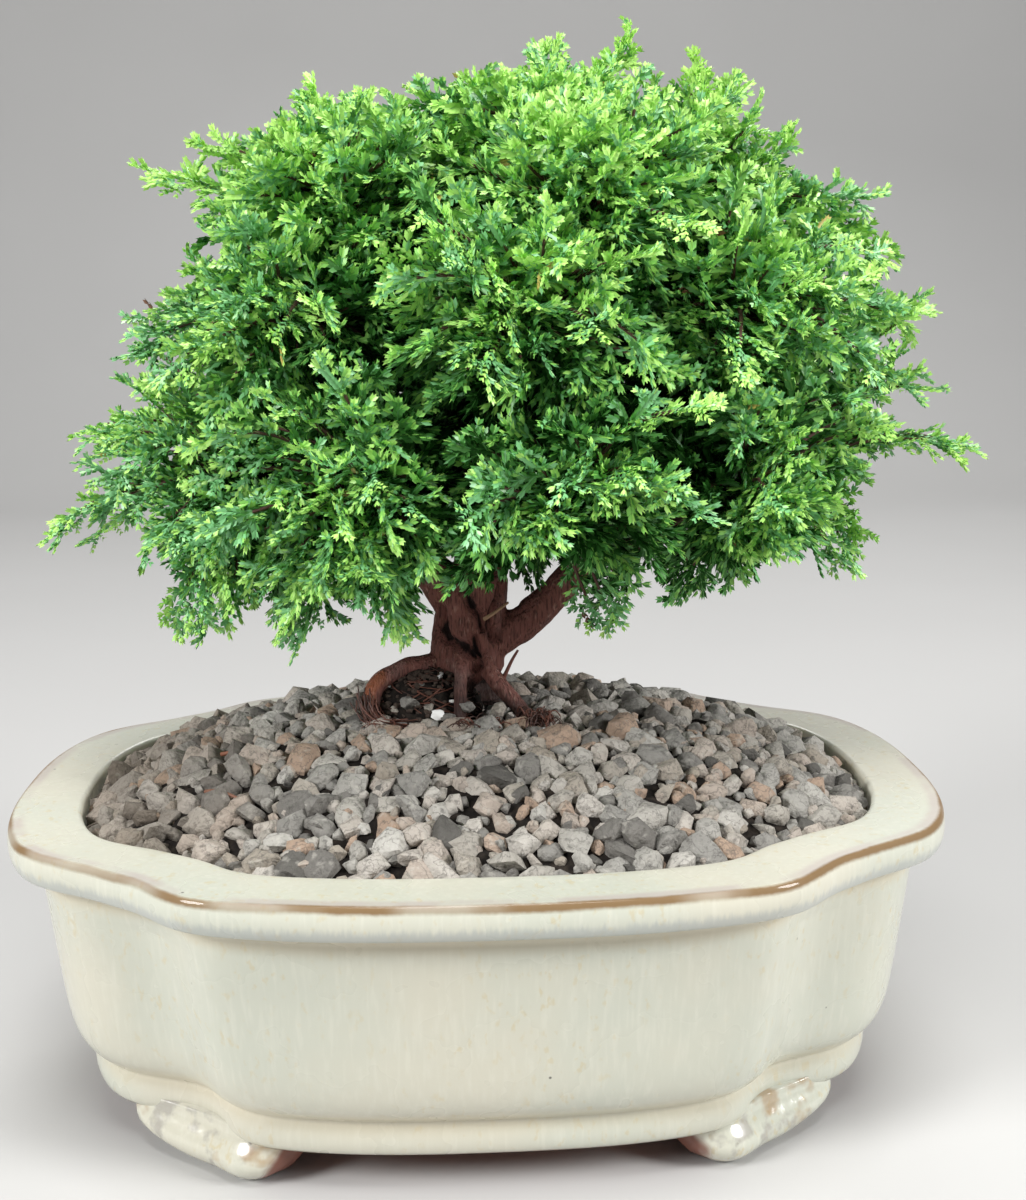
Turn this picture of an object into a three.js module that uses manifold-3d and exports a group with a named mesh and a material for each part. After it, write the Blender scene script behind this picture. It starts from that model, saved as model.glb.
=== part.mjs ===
import * as THREE from 'three';
import { mergeVertices } from 'three/addons/utils/BufferGeometryUtils.js';
import Module from 'manifold-3d';

// A dwarf cypress bonsai in a four-lobed glazed pot, in millimetres with +Z up.
// Heights are above the surface that the pot's feet stand on, and +Y points away from the front.

// Pot sizes
const POT_HEIGHT = 67;
const FOOT_HEIGHT = 9;
const RIM_HALF_LENGTH = 100;
const RIM_HALF_WIDTH = 75;
const OUTLINE_POWER = 2.6;
const NOTCH_ANGLE = THREE.MathUtils.degToRad(37.3);
const NOTCH_WIDTH = THREE.MathUtils.degToRad(9.8);
const NOTCH_DEPTH = 0.06;
const OUTLINE_POINTS = 52;
const LIP_HEIGHT = 7;
const LIP_BULGE = 1.2;
const COVE_DROP = 10;
const COVE_INSET = 4.8;
const WALL_TAPER = 4.6;
const WALL_TURN = 5.4;
const WALL_TURN_POWER = 12;
const GROOVE_DROP = 51;
const BEAD_BULGE = 1.6;
const RIM_WIDTH = 12.5;
const RIM_EDGE = 1.2;
const INNER_WALL_INSET = 14;
const INNER_WALL_DROP = 30;
const INNER_TURN_INSET = 18;
const INNER_TURN_DROP = 47;
const FLOOR_INSET = 22;
const FLOOR_DROP = 51;
const ARC_STEPS = 3;

// Foot sizes: each foot hugs the base round one notch and narrows to its pad
const FOOT_ANGLE_TOP = THREE.MathUtils.degToRad(39);
const FOOT_ANGLE_PAD = THREE.MathUtils.degToRad(43);
const FOOT_SPREAD_TOP = THREE.MathUtils.degToRad(17);
const FOOT_SPREAD_PAD = THREE.MathUtils.degToRad(8);
const FOOT_DEPTH_TOP = 17;
const FOOT_DEPTH_PAD = 11;
const FOOT_INSET = 0.6;
const FOOT_PAD_INSET = 1.6;
const FOOT_SUNK = 3;
const FOOT_STEPS = 4;
const FOOT_ARC_POINTS = 7;

// Gravel sizes
const GAP = 0.3;
const GRAVEL_EDGE_DROP = 3;
const GRAVEL_CREST = 13;
const GRAVEL_CREST_Y = 5;
const GRAVEL_MOUND_POWER = 1.7;
const GRAVEL_BUMP = 0.9;
const LANDING_SHARE = 0.42;
const MOUND_RINGS = 4;
const GRAVEL_TURN_GAP = 0.6;
const GRAVEL_SEED = 11;
const STONE_RING_SHARES = [0.25, 0.59, 0.93];
const STONE_SPACING = 18;
const STONE_HALF_SIZES = new THREE.Vector3(6.4, 5.2, 3.8);
const STONE_LEAST_SHARE = 0.8;
const STONE_CORNERS = 9;
const STONE_JITTER = 0.22;

// Trunk sizes
const GROUND = POT_HEIGHT + GRAVEL_CREST;
const TRUNK_FOOT = new THREE.Vector3(-4, 8, GROUND + GAP);
const TRUNK_NECK = new THREE.Vector3(-1.5, 8, POT_HEIGHT + 29);
const TRUNK_FORK = new THREE.Vector3(-1, 9, POT_HEIGHT + 43);
const TRUNK_FOOT_RADIUS = 11.5;
const TRUNK_NECK_RADIUS = 7.8;
const TRUNK_FORK_RADIUS = 8.6;
const TRUNK_SIDES = 16;
const TRUNK_STEPS = 8;
const FLARE_LOBES = 5;
const FLARE_DEPTH = 0.2;
const FLARE_PHASE = 0.5;
const FLARE_POWER = 2.5;
const FORK_ROUNDING = 4;
const FORK_ROUNDING_LEVELS = [0.5, 0.85];
const GROUND_BLOCK = 100;

// Exposed roots: route points from the trunk down to the cut at ground level, and end radii
const ROOTS = [
  { route: [[-7, 6, 24], [-17, 1, 22.5], [-25, -3, 19], [-24, -8, 11]], radii: [3.6, 2.6] },
  { route: [[-2, 2, 27], [-1, -3, 21], [0.5, -6, 11]], radii: [2.0, 1.3] },
  { route: [[3, 4, 21], [9, -2, 16.5], [14, -6, 10]], radii: [3.2, 2.0] },
];

// Stems that leave the fork: route points and end radii
const STEMS = {
  stem_right: {
    route: [[2, 8, 28], [13, 8, 35], [26, 8, 48], [38, 8, 54], [48, 7, 57]],
    radii: [4.6, 2.3],
  },
  stem_left: {
    route: [[-4, 8, 36], [-12, 7, 48], [-24, 6, 62], [-35, 6, 71]],
    radii: [4.6, 2.3],
  },
  stem_centre: {
    route: [[0, 9, 36], [2, 11, 54], [6, 12, 76], [11, 9, 98], [13, 6, 115]],
    radii: [6.6, 2.4],
  },
};
const STEM_SIDES = 8;
const STEM_STEPS = 9;

// Boughs, one to each foliage mass
const BOUGH_RADIUS_SHARE = 0.68;
const BOUGH_MOST_RADIUS = 2.6;
const BOUGH_TIP_RADIUS = 1.3;
const BOUGH_ARCH = 0.1;
const BOUGH_SIDES = 5;
const BOUGH_STEPS = 4;
const BOUGH_ENTRY = 3;
const BOUGH_LEAST = 7;
const BOUGH_PLACES = 32;
const BOUGH_FIRST_PLACE = 9;
const BOUGH_CLEARANCE = 0.8;
const BOUGH_CROSSING_COST = 500;
const BOUGH_FALL_COST = 0.8;
const BOUGH_RISE = 8;
const BOUGH_SUNK_SHARE = 0.6;

// Crown envelope: a dome above its widest level and a flatter bowl below it
const CROWN_CENTRE = new THREE.Vector3(10, 3, POT_HEIGHT + 68);
const CROWN_HALF_LENGTH = 96;
const CROWN_HALF_DEPTH = 78;
const CROWN_RISE = 89;
const CROWN_FALL = 40;
const CROWN_LEAST_FALL = 10;
const CROWN_TOP_POWER = 2.35;
const CROWN_BOTTOM_POWER = 3;
const CROWN_SEARCH_STEPS = 24;

// The underside is tilted up to the front and the right, and arched above the trunk
const FRONT_LIFT = 0.17;
const RIGHT_LIFT = 0.15;
const ARCH_LIFT = 16;
const ARCH_HALF_WIDTH = 18;
const ARCH_X = 6;

// Tiers of foliage masses, from the lowest ring to the top
const TIERS = [
  { name: 'low', height: 67, count: 8, reach: 0.62, turn: 0.12 },
  { name: 'middle', height: 103, count: 6, reach: 0.58, turn: 0.45 },
  { name: 'high', height: 126, count: 4, reach: 0.52, turn: 0.2 },
  { name: 'top', height: 140, count: 1, reach: 0, turn: 0 },
];

// Furthest tips of the crown, from the pot's centre and rim
const REACHING_TIPS = [
  [33, 0, 163],
  [-94, 0, 54],
  [-71, 0, 128],
  [113, -4, 71],
  [88, 0, 129],
  [98, 0, 106],
  [-39, -10, 151],
  [-66, -20, 38],
  [-40, -30, 39],
  [84, -10, 47],
];

// Sprays and cores of a mass
const CELL_MARGIN = 0.25;
const CORE_RADIUS = 30;
const CORE_WALL_SHARE = 0.92;
const CORE_DEPTH = 18;
const CORE_LEAST = 6;
const SPRAY_DIRECTIONS = 36;
const SPRAY_SPACING = 18.5;
const SPRAY_LENGTH = 25;
const SPRAY_LENGTH_SPREAD = 0.3;
const SPRAY_SUNK = 5;
const SPRAY_FINGERS = [0.45, 0.58, 0.45];
const FINGER_ANGLE = THREE.MathUtils.degToRad(48);
const FINGER_LEAST = 0.8;
const FINGER_SPREAD = 0.3;
const MIDDLE_FINGER = (SPRAY_FINGERS.length - 1) / 2;
const PALM_PLACE = 0.42;
const NOTCH_REACH = 0.28;
const SPRAY_ROOT = 0.06;
const SPRAY_THICKNESS = 0.06;
const SPRAY_ROLL = 0.9;
const LEAN_BELOW = -0.7;
const LEAN_ABOVE = 0.3;
const TIP_SHORTFALL = 0.08;
const TIP_WALL_SHARE = 0.94;
const FACE_LEAST = 0.01;
const TWIG_RADIUS = 0.9;
const TWIG_SIDES = 3;
const MASS_STEM_TAPER = 0.8;
const MASS_STEM_SIDES = 4;
const LIMB_CLEARANCE = 0.9;
const SAMPLE_STEP = 2.5;
const MASS_SEED = 100;
const GOLDEN_ANGLE = Math.PI * (3 - Math.sqrt(5));

const UP = new THREE.Vector3(0, 0, 1);
const WELD = 1e-4;

// How an angle of the first quarter falls in each quarter of the pot's outline
const CORNERS = [
  (angle) => angle,
  (angle) => Math.PI - angle,
  (angle) => Math.PI + angle,
  (angle) => 2 * Math.PI - angle,
];

const wasm = await Module();
wasm.setup();

const MATERIALS = {
  glaze: material(0xd9d4bd, 0.22),
  gravel: material(0x847c73, 0.9),
  bark: material(0x5a3529, 0.85),
  foliage: material(0x3f8a3a, 0.7),
};

function material(color, roughness) {
  return new THREE.MeshStandardMaterial({ color, roughness, metalness: 0, flatShading: true });
}

// A small seeded generator of numbers from 0 to 1
function seeded(seed) {
  let state = seed >>> 0;
  return () => {
    state = (state + 0x6d2b79f5) >>> 0;
    let mixed = Math.imul(state ^ (state >>> 15), 1 | state);
    mixed = (mixed + Math.imul(mixed ^ (mixed >>> 7), 61 | mixed)) ^ mixed;
    return ((mixed ^ (mixed >>> 14)) >>> 0) / 4294967296;
  };
}

// A point given from the pot's centre and the level of its rim
function fromRim([x, y, z]) {
  return new THREE.Vector3(x, y, POT_HEIGHT + z);
}

function triangleGeometry(points, index) {
  const geometry = new THREE.BufferGeometry().setFromPoints(points);
  geometry.setIndex(index);
  return geometry;
}

// A closed skin over rings of equal length, with a fan over the first and the last ring
function loft(rings) {
  const count = rings[0].length;
  const points = rings.flat();
  const index = [];
  for (let level = 0; level + 1 < rings.length; level++) {
    for (let i = 0; i < count; i++) {
      const a = level * count + i;
      const b = level * count + ((i + 1) % count);
      index.push(a, b, b + count, a, b + count, a + count);
    }
  }
  const last = (rings.length - 1) * count;
  const bottom = points.length;
  points.push(middle(rings[0]), middle(rings.at(-1)));
  for (let i = 0; i < count; i++) {
    const next = (i + 1) % count;
    index.push(bottom, next, i);
    index.push(bottom + 1, last + i, last + next);
  }
  return triangleGeometry(points, index);
}

function middle(ring) {
  const sum = ring.reduce((total, point) => total.add(point), new THREE.Vector3());
  return sum.divideScalar(ring.length);
}

function toSolid(geometry) {
  const welded = mergeVertices(geometry, WELD);
  const vertProperties = Float32Array.from(welded.getAttribute('position').array);
  const triVerts = Uint32Array.from(welded.getIndex().array);
  return new wasm.Manifold(new wasm.Mesh({ numProp: 3, vertProperties, triVerts }));
}

// The largest connected skin: sealed hollows are filled and loose scraps dropped
function wholePiece(solid) {
  const pieces = solid.decompose();
  return pieces.reduce((best, piece) => (piece.volume() > best.volume() ? piece : best));
}

function toMesh(name, solid, look) {
  const { vertProperties, triVerts } = solid.getMesh();
  const geometry = new THREE.BufferGeometry();
  geometry.setAttribute('position', new THREE.BufferAttribute(vertProperties, 3));
  geometry.setIndex(new THREE.BufferAttribute(triVerts, 1));
  const mesh = new THREE.Mesh(geometry, look);
  mesh.name = name;
  return mesh;
}

// Pot outline: a softened oblong with a notch in each corner, drawn in by an inset
function outlineRadius(angle, inset) {
  const across = Math.abs(Math.cos(angle)) / (RIM_HALF_LENGTH - inset);
  const along = Math.abs(Math.sin(angle)) / (RIM_HALF_WIDTH - inset);
  const plain = (across ** OUTLINE_POWER + along ** OUTLINE_POWER) ** (-1 / OUTLINE_POWER);
  const folded = Math.acos(Math.abs(Math.cos(angle)));
  return plain * (1 - NOTCH_DEPTH * Math.exp(-(((folded - NOTCH_ANGLE) / NOTCH_WIDTH) ** 2)));
}

function outlinePoint(angle, inset, height) {
  const radius = outlineRadius(angle, inset);
  return new THREE.Vector3(radius * Math.cos(angle), radius * Math.sin(angle), height);
}

function outlineRing(inset, height) {
  return Array.from({ length: OUTLINE_POINTS }, (_, i) =>
    outlinePoint((i * 2 * Math.PI) / OUTLINE_POINTS, inset, height),
  );
}

// A half round from one level down to another, as inset and drop below the rim
function halfRound(inset, bulge, from, to) {
  return Array.from({ length: ARC_STEPS + 1 }, (_, i) => {
    const turn = (Math.PI * i) / ARC_STEPS;
    return [inset - bulge * Math.sin(turn), from + ((to - from) * (1 - Math.cos(turn))) / 2];
  });
}

function wallProfile() {
  return Array.from({ length: ARC_STEPS + 1 }, (_, i) => {
    const share = 1 - (1 - i / ARC_STEPS) ** 2;
    const inset = COVE_INSET + WALL_TAPER * share + WALL_TURN * share ** WALL_TURN_POWER;
    return [inset, COVE_DROP + (GROOVE_DROP - COVE_DROP) * share];
  });
}

function buildPot() {
  const baseDrop = POT_HEIGHT - FOOT_HEIGHT;
  const grooveInset = COVE_INSET + WALL_TAPER + WALL_TURN;
  const outside = [
    ...halfRound(0, LIP_BULGE, 0, LIP_HEIGHT),
    ...wallProfile(),
    ...halfRound(grooveInset, BEAD_BULGE, GROOVE_DROP, baseDrop).slice(1),
  ];
  const inside = [
    [RIM_WIDTH, 0],
    [RIM_WIDTH + RIM_EDGE, RIM_EDGE],
    [INNER_WALL_INSET, INNER_WALL_DROP],
    [INNER_TURN_INSET, INNER_TURN_DROP],
    [FLOOR_INSET, FLOOR_DROP],
  ];
  const profile = [...outside.reverse(), ...inside];
  let pot = toSolid(loft(profile.map(([inset, drop]) => outlineRing(inset, POT_HEIGHT - drop))));
  for (const corner of CORNERS) {
    pot = pot.add(toSolid(footShape(corner, grooveInset)));
  }
  return toMesh('pot', pot, MATERIALS.glaze);
}

function footShape(corner, baseInset) {
  const rings = [];
  for (let step = 0; step <= FOOT_STEPS; step++) {
    const share = step / FOOT_STEPS;
    const rounded = Math.sin((share * Math.PI) / 2);
    const height = share * (FOOT_HEIGHT + FOOT_SUNK);
    const spread = THREE.MathUtils.lerp(FOOT_SPREAD_PAD, FOOT_SPREAD_TOP, rounded);
    const outer = baseInset + THREE.MathUtils.lerp(FOOT_PAD_INSET, FOOT_INSET, rounded);
    const depth = THREE.MathUtils.lerp(FOOT_DEPTH_PAD, FOOT_DEPTH_TOP, rounded);
    const middleAngle = THREE.MathUtils.lerp(FOOT_ANGLE_PAD, FOOT_ANGLE_TOP, rounded);
    const angles = Array.from({ length: FOOT_ARC_POINTS }, (_, i) =>
      corner(middleAngle + spread * ((2 * i) / (FOOT_ARC_POINTS - 1) - 1)),
    ).sort((a, b) => a - b);
    const front = angles.map((angle) => outlinePoint(angle, outer, height));
    const back = angles.map((angle) => outlinePoint(angle, outer + depth, height)).reverse();
    rings.push([...front, ...back]);
  }
  return loft(rings);
}

// A point of the mound, at a share of the way from its edge to the landing
function moundPoint(angle, share) {
  const across = THREE.MathUtils.lerp(1, LANDING_SHARE, share);
  const rise = 1 - (1 - share) ** GRAVEL_MOUND_POWER;
  const height = POT_HEIGHT + THREE.MathUtils.lerp(-GRAVEL_EDGE_DROP, GRAVEL_CREST, rise);
  const point = outlinePoint(angle, INNER_WALL_INSET + GAP, height);
  return new THREE.Vector3(point.x * across, point.y * across + GRAVEL_CREST_Y * share, height);
}

function moundRing(share) {
  return Array.from({ length: OUTLINE_POINTS }, (_, i) =>
    moundPoint((i * 2 * Math.PI) / OUTLINE_POINTS, share),
  );
}

// An angular stone that stands half out of the gravel
function stoneShape(place, random) {
  const turn = 2 * Math.PI * random();
  const corners = Array.from({ length: STONE_CORNERS }, (_, i) =>
    evenDirection(i, STONE_CORNERS)
      .multiply(STONE_HALF_SIZES)
      .multiplyScalar(THREE.MathUtils.lerp(STONE_LEAST_SHARE, 1, random()))
      .applyAxisAngle(UP, turn)
      .add(place)
      .toArray(),
  );
  return wasm.Manifold.hull(corners);
}

// The main stones, in rings round the mound
function mainStones(random) {
  return STONE_RING_SHARES.flatMap((share) => {
    const ring = moundRing(share);
    const length = ring.reduce((sum, point, i) => sum + point.distanceTo(ring.at(i - 1)), 0);
    const count = Math.round(length / STONE_SPACING);
    return Array.from({ length: count }, (_, i) => {
      const angle = (2 * Math.PI * (i + STONE_JITTER * (2 * random() - 1))) / count;
      return stoneShape(moundPoint(angle, share), random);
    });
  });
}

// Gravel that fills the pot and rises to a flat landing round the trunk
function buildGravel() {
  const random = seeded(GRAVEL_SEED);
  const rings = [
    outlineRing(FLOOR_INSET + GAP, POT_HEIGHT - FLOOR_DROP + GAP),
    outlineRing(INNER_TURN_INSET + GRAVEL_TURN_GAP, POT_HEIGHT - INNER_TURN_DROP),
    outlineRing(INNER_WALL_INSET + GAP, POT_HEIGHT - INNER_WALL_DROP),
    moundRing(0),
  ];
  for (let i = 1; i <= MOUND_RINGS; i++) {
    const bump = i < MOUND_RINGS ? GRAVEL_BUMP : 0;
    const ring = moundRing(i / MOUND_RINGS);
    ring.forEach((point) => {
      point.z += bump * (2 * random() - 1);
    });
    rings.push(ring);
  }
  const solid = wasm.Manifold.union([toSolid(loft(rings)), ...mainStones(random)]);
  return toMesh('gravel_bed', solid, MATERIALS.gravel);
}

// Trunk outline at one level, with its flare lobes, grown by an extra clearance
function trunkRing(share, extra) {
  const curve = new THREE.QuadraticBezierCurve3(TRUNK_FOOT, TRUNK_NECK, TRUNK_FORK);
  const centre = curve.getPoint(share);
  const flare = (1 - share) ** FLARE_POWER;
  const swell = share ** 2;
  const base = TRUNK_NECK_RADIUS
    + (TRUNK_FOOT_RADIUS - TRUNK_NECK_RADIUS) * flare
    + (TRUNK_FORK_RADIUS - TRUNK_NECK_RADIUS) * swell;
  return Array.from({ length: TRUNK_SIDES }, (_, i) => {
    const angle = (i * 2 * Math.PI) / TRUNK_SIDES;
    const lobe = 1 + FLARE_DEPTH * flare * Math.cos(FLARE_LOBES * angle + FLARE_PHASE);
    const radius = base * lobe + extra;
    return new THREE.Vector3(radius * Math.cos(angle), radius * Math.sin(angle), 0).add(centre);
  });
}

function trunkShape(extra) {
  const rings = [];
  for (let step = 0; step <= TRUNK_STEPS; step++) {
    rings.push(trunkRing(step / TRUNK_STEPS, extra));
  }
  const top = rings.at(-1);
  const centre = middle(top);
  for (const share of FORK_ROUNDING_LEVELS) {
    const drawnIn = Math.sqrt(1 - share * share);
    const lift = UP.clone().multiplyScalar((FORK_ROUNDING + extra) * share);
    rings.push(top.map((point) => centre.clone().lerp(point, drawnIn).add(lift)));
  }
  return toSolid(loft(rings));
}

// A round tapering limb along a smooth route, lengthened and thickened by an extra clearance
function limbShape(limb, sides, steps, extra = 0) {
  const frames = limb.curve.computeFrenetFrames(steps, false);
  const rings = [];
  for (let step = 0; step <= steps; step++) {
    const share = step / steps;
    const centre = limb.curve.getPointAt(share);
    const overrun = step === 0 ? -extra : step === steps ? extra : 0;
    centre.addScaledVector(frames.tangents[step], overrun);
    const radius = limbRadius(limb, share) + extra;
    rings.push(ringAround(centre, frames.normals[step], frames.binormals[step], radius, sides));
  }
  return toSolid(loft(rings));
}

function ringAround(centre, across, along, radius, sides) {
  return Array.from({ length: sides }, (_, i) => {
    const angle = (i * 2 * Math.PI) / sides;
    return centre.clone()
      .addScaledVector(across, radius * Math.cos(angle))
      .addScaledVector(along, radius * Math.sin(angle));
  });
}

function limbRadius(limb, share) {
  return THREE.MathUtils.lerp(limb.radii[0], limb.radii[1], share);
}

function smoothLimb(points, radii) {
  return { curve: new THREE.CatmullRomCurve3(points), radii };
}

// Points with radii along a limb, for keeping foliage clear of it
function limbSamples(limb) {
  const steps = Math.ceil(limb.curve.getLength() / SAMPLE_STEP);
  return Array.from({ length: steps + 1 }, (_, i) => ({
    point: limb.curve.getPointAt(i / steps),
    radius: limbRadius(limb, i / steps),
  }));
}

function buildTrunk() {
  let trunk = trunkShape(0);
  for (const root of ROOTS) {
    const limb = smoothLimb(root.route.map(fromRim), root.radii);
    trunk = trunk.add(limbShape(limb, BOUGH_SIDES, BOUGH_STEPS + 1));
  }
  const below = new THREE.BoxGeometry(GROUND_BLOCK, GROUND_BLOCK, GROUND_BLOCK);
  below.translate(0, 0, GROUND + GAP - GROUND_BLOCK / 2);
  below.deleteAttribute('normal');
  below.deleteAttribute('uv');
  return wholePiece(trunk.subtract(toSolid(below)));
}

// How far the crown reaches at a place, as a share: 1 lies on the envelope
function crownShare(point) {
  const offset = point.clone().sub(CROWN_CENTRE);
  const above = offset.z > 0;
  const power = above ? CROWN_TOP_POWER : CROWN_BOTTOM_POWER;
  const arched = ARCH_LIFT * Math.exp(-(((point.x - ARCH_X) / ARCH_HALF_WIDTH) ** 2));
  const frontLift = offset.y < 0 ? -FRONT_LIFT * offset.y + arched : 0;
  const lift = frontLift + RIGHT_LIFT * Math.max(0, offset.x);
  const drop = Math.max(CROWN_FALL - lift, CROWN_LEAST_FALL);
  const height = above ? CROWN_RISE : drop;
  const flat = Math.hypot(offset.x / CROWN_HALF_LENGTH, offset.y / CROWN_HALF_DEPTH);
  return flat ** power + Math.abs(offset.z / height) ** power;
}

// Distance from a point inside the crown to the envelope along a direction
function crownDistance(from, direction) {
  let near = 0;
  let far = 2 * CROWN_HALF_LENGTH;
  for (let i = 0; i < CROWN_SEARCH_STEPS; i++) {
    const half = (near + far) / 2;
    if (crownShare(from.clone().addScaledVector(direction, half)) < 1) {
      near = half;
    } else {
      far = half;
    }
  }
  return near;
}

// Centres of the masses, spaced round each tier at a share of the crown's reach there
function massCentres() {
  const masses = [];
  for (const tier of TIERS) {
    for (let i = 0; i < tier.count; i++) {
      const angle = 2 * Math.PI * ((i + tier.turn) / tier.count);
      const direction = new THREE.Vector3(Math.cos(angle), Math.sin(angle), 0);
      const centre = new THREE.Vector3(CROWN_CENTRE.x, CROWN_CENTRE.y, POT_HEIGHT + tier.height);
      centre.addScaledVector(direction, tier.reach * crownDistance(centre, direction));
      masses.push({ name: `${tier.name}_${i + 1}`, centre });
    }
  }
  return masses;
}

// Each mass keeps to the space that lies nearer to its centre than to any other
function giveCells(masses) {
  for (const mass of masses) {
    mass.walls = masses.filter((other) => other !== mass).map((other) => {
      const normal = other.centre.clone().sub(mass.centre).normalize();
      const halfway = other.centre.clone().lerp(mass.centre, 0.5);
      return new THREE.Plane().setFromNormalAndCoplanarPoint(normal, halfway);
    });
  }
}

function insideCell(mass, point) {
  return mass.walls.every((wall) => wall.distanceToPoint(point) < -CELL_MARGIN);
}

function wallDistance(mass, direction) {
  let nearest = Infinity;
  for (const wall of mass.walls) {
    const closing = wall.normal.dot(direction);
    if (closing > 0) {
      nearest = Math.min(nearest, -wall.distanceToPoint(mass.centre) / closing);
    }
  }
  return nearest;
}

function coreRadius(mass, direction) {
  const byWall = CORE_WALL_SHARE * wallDistance(mass, direction);
  const byCrown = crownDistance(mass.centre, direction) - CORE_DEPTH;
  return Math.max(CORE_LEAST, Math.min(CORE_RADIUS, byWall, byCrown));
}

// The bough from one place on a stem to where it enters a mass, arched a little upwards
function boughBetween(stem, share, mass) {
  const start = stem.curve.getPointAt(share);
  const inward = start.clone().sub(mass.centre);
  const span = inward.length();
  inward.normalize();
  const entry = Math.min(coreRadius(mass, inward) + BOUGH_ENTRY, span - BOUGH_LEAST);
  const end = mass.centre.clone().addScaledVector(inward, entry);
  const bend = start.clone().lerp(end, 0.5);
  bend.z += BOUGH_ARCH * span;
  const base = Math.min(BOUGH_MOST_RADIUS, BOUGH_RADIUS_SHARE * limbRadius(stem, share));
  return smoothLimb([start, bend, end], [base, BOUGH_TIP_RADIUS]);
}

// A bough leaves a stem where its way to the mass is short and rising, clear of the other limbs
function growBoughs(masses, stems) {
  const grown = [];
  for (const mass of masses.toReversed()) {
    let best = null;
    for (const stem of stems) {
      const others = stems.filter((other) => other !== stem).flatMap(limbSamples).concat(grown);
      for (let place = BOUGH_FIRST_PLACE; place < BOUGH_PLACES; place++) {
        const share = place / BOUGH_PLACES;
        const bough = boughBetween(stem, share, mass);
        const start = bough.curve.getPointAt(0);
        const free = limbSamples(bough).filter(({ point }) =>
          point.distanceTo(start) > BOUGH_SUNK_SHARE * limbRadius(stem, share));
        const crossed = free.some(({ point, radius }) =>
          others.some((other) =>
            point.distanceTo(other.point) < radius + other.radius + BOUGH_CLEARANCE));
        const fall = Math.max(0, start.z + BOUGH_RISE - mass.centre.z);
        const cost = start.distanceTo(mass.centre) + BOUGH_FALL_COST * fall
          + (crossed ? BOUGH_CROSSING_COST : 0);
        if (best === null || cost < best.cost) {
          best = { cost, bough, free };
        }
      }
    }
    mass.bough = best.bough;
    grown.push(...best.free);
  }
}

// Directions spread evenly over a ball
function evenDirection(i, count) {
  const z = 1 - (2 * i + 1) / count;
  const across = Math.sqrt(1 - z * z);
  return new THREE.Vector3(across * Math.cos(i * GOLDEN_ANGLE), across * Math.sin(i * GOLDEN_ANGLE), z);
}

function coreShape(mass) {
  const ball = new THREE.IcosahedronGeometry(1, 1);
  ball.deleteAttribute('normal');
  ball.deleteAttribute('uv');
  const core = mergeVertices(ball, WELD);
  const position = core.getAttribute('position');
  for (let i = 0; i < position.count; i++) {
    const direction = new THREE.Vector3().fromBufferAttribute(position, i).normalize();
    const point = direction.clone().multiplyScalar(coreRadius(mass, direction)).add(mass.centre);
    position.setXYZ(i, point.x, point.y, point.z);
  }
  return toSolid(core);
}

// A fan-shaped spray: three fingers round a palm, ridged on both faces
function sprayPoints(spray, random) {
  const { root, direction, side, length } = spray;
  const palm = root.clone().addScaledVector(direction, PALM_PLACE * length);
  const outline = [root.clone().addScaledVector(side, -SPRAY_ROOT * length)];
  SPRAY_FINGERS.forEach((reach, i) => {
    const angle = (i - MIDDLE_FINGER) * FINGER_ANGLE;
    const finger = reach * length * (i === MIDDLE_FINGER ? 1 : FINGER_LEAST + FINGER_SPREAD * random());
    outline.push(onFan(palm, direction, side, angle, finger));
    if (i + 1 < SPRAY_FINGERS.length) {
      outline.push(onFan(palm, direction, side, angle + FINGER_ANGLE / 2, NOTCH_REACH * length));
    }
  });
  outline.push(root.clone().addScaledVector(side, SPRAY_ROOT * length));
  return { palm, outline };
}

function onFan(palm, direction, side, angle, reach) {
  return palm.clone()
    .addScaledVector(direction, reach * Math.cos(angle))
    .addScaledVector(side, reach * Math.sin(angle));
}

function sprayShape(spray) {
  const { palm, outline } = spray;
  const normal = spray.direction.clone().cross(spray.side);
  const ridge = 0.5 * SPRAY_THICKNESS * spray.length;
  const above = palm.clone().addScaledVector(normal, ridge);
  const below = palm.clone().addScaledVector(normal, -ridge);
  const index = [];
  const count = outline.length;
  for (let i = 0; i < count; i++) {
    const next = (i + 1) % count;
    index.push(count, i, next, count + 1, next, i);
  }
  return toSolid(triangleGeometry([...outline, above, below], index));
}

function twigShape(from, to) {
  return limbShape(smoothLimb([from, to], [TWIG_RADIUS, TWIG_RADIUS / 2]), TWIG_SIDES, 1);
}

// Points along the edges of a spray, close enough together to find a limb between them
function edgeSamples({ palm, outline }) {
  const samples = [palm];
  outline.forEach((point, i) => {
    const next = outline[(i + 1) % outline.length];
    const steps = Math.ceil(point.distanceTo(next) / SAMPLE_STEP);
    for (let k = 0; k < steps; k++) {
      samples.push(point.clone().lerp(next, k / steps));
    }
    samples.push(point.clone().lerp(palm, 0.5));
  });
  return samples;
}

function clearOfLimbs(points, limbPoints) {
  return points.every((point) => limbPoints.every((sample) =>
    point.distanceTo(sample.point) > sample.radius + LIMB_CLEARANCE));
}

// Sprays hang at the crown's lower edge and stand up at its top
function leanAt(tip) {
  const lowest = CROWN_CENTRE.z - CROWN_FALL;
  const share = THREE.MathUtils.clamp((tip.z - lowest) / (CROWN_RISE + CROWN_FALL), 0, 1);
  return new THREE.Vector3(0, 0, THREE.MathUtils.lerp(LEAN_BELOW, LEAN_ABOVE, share * share));
}

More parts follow.
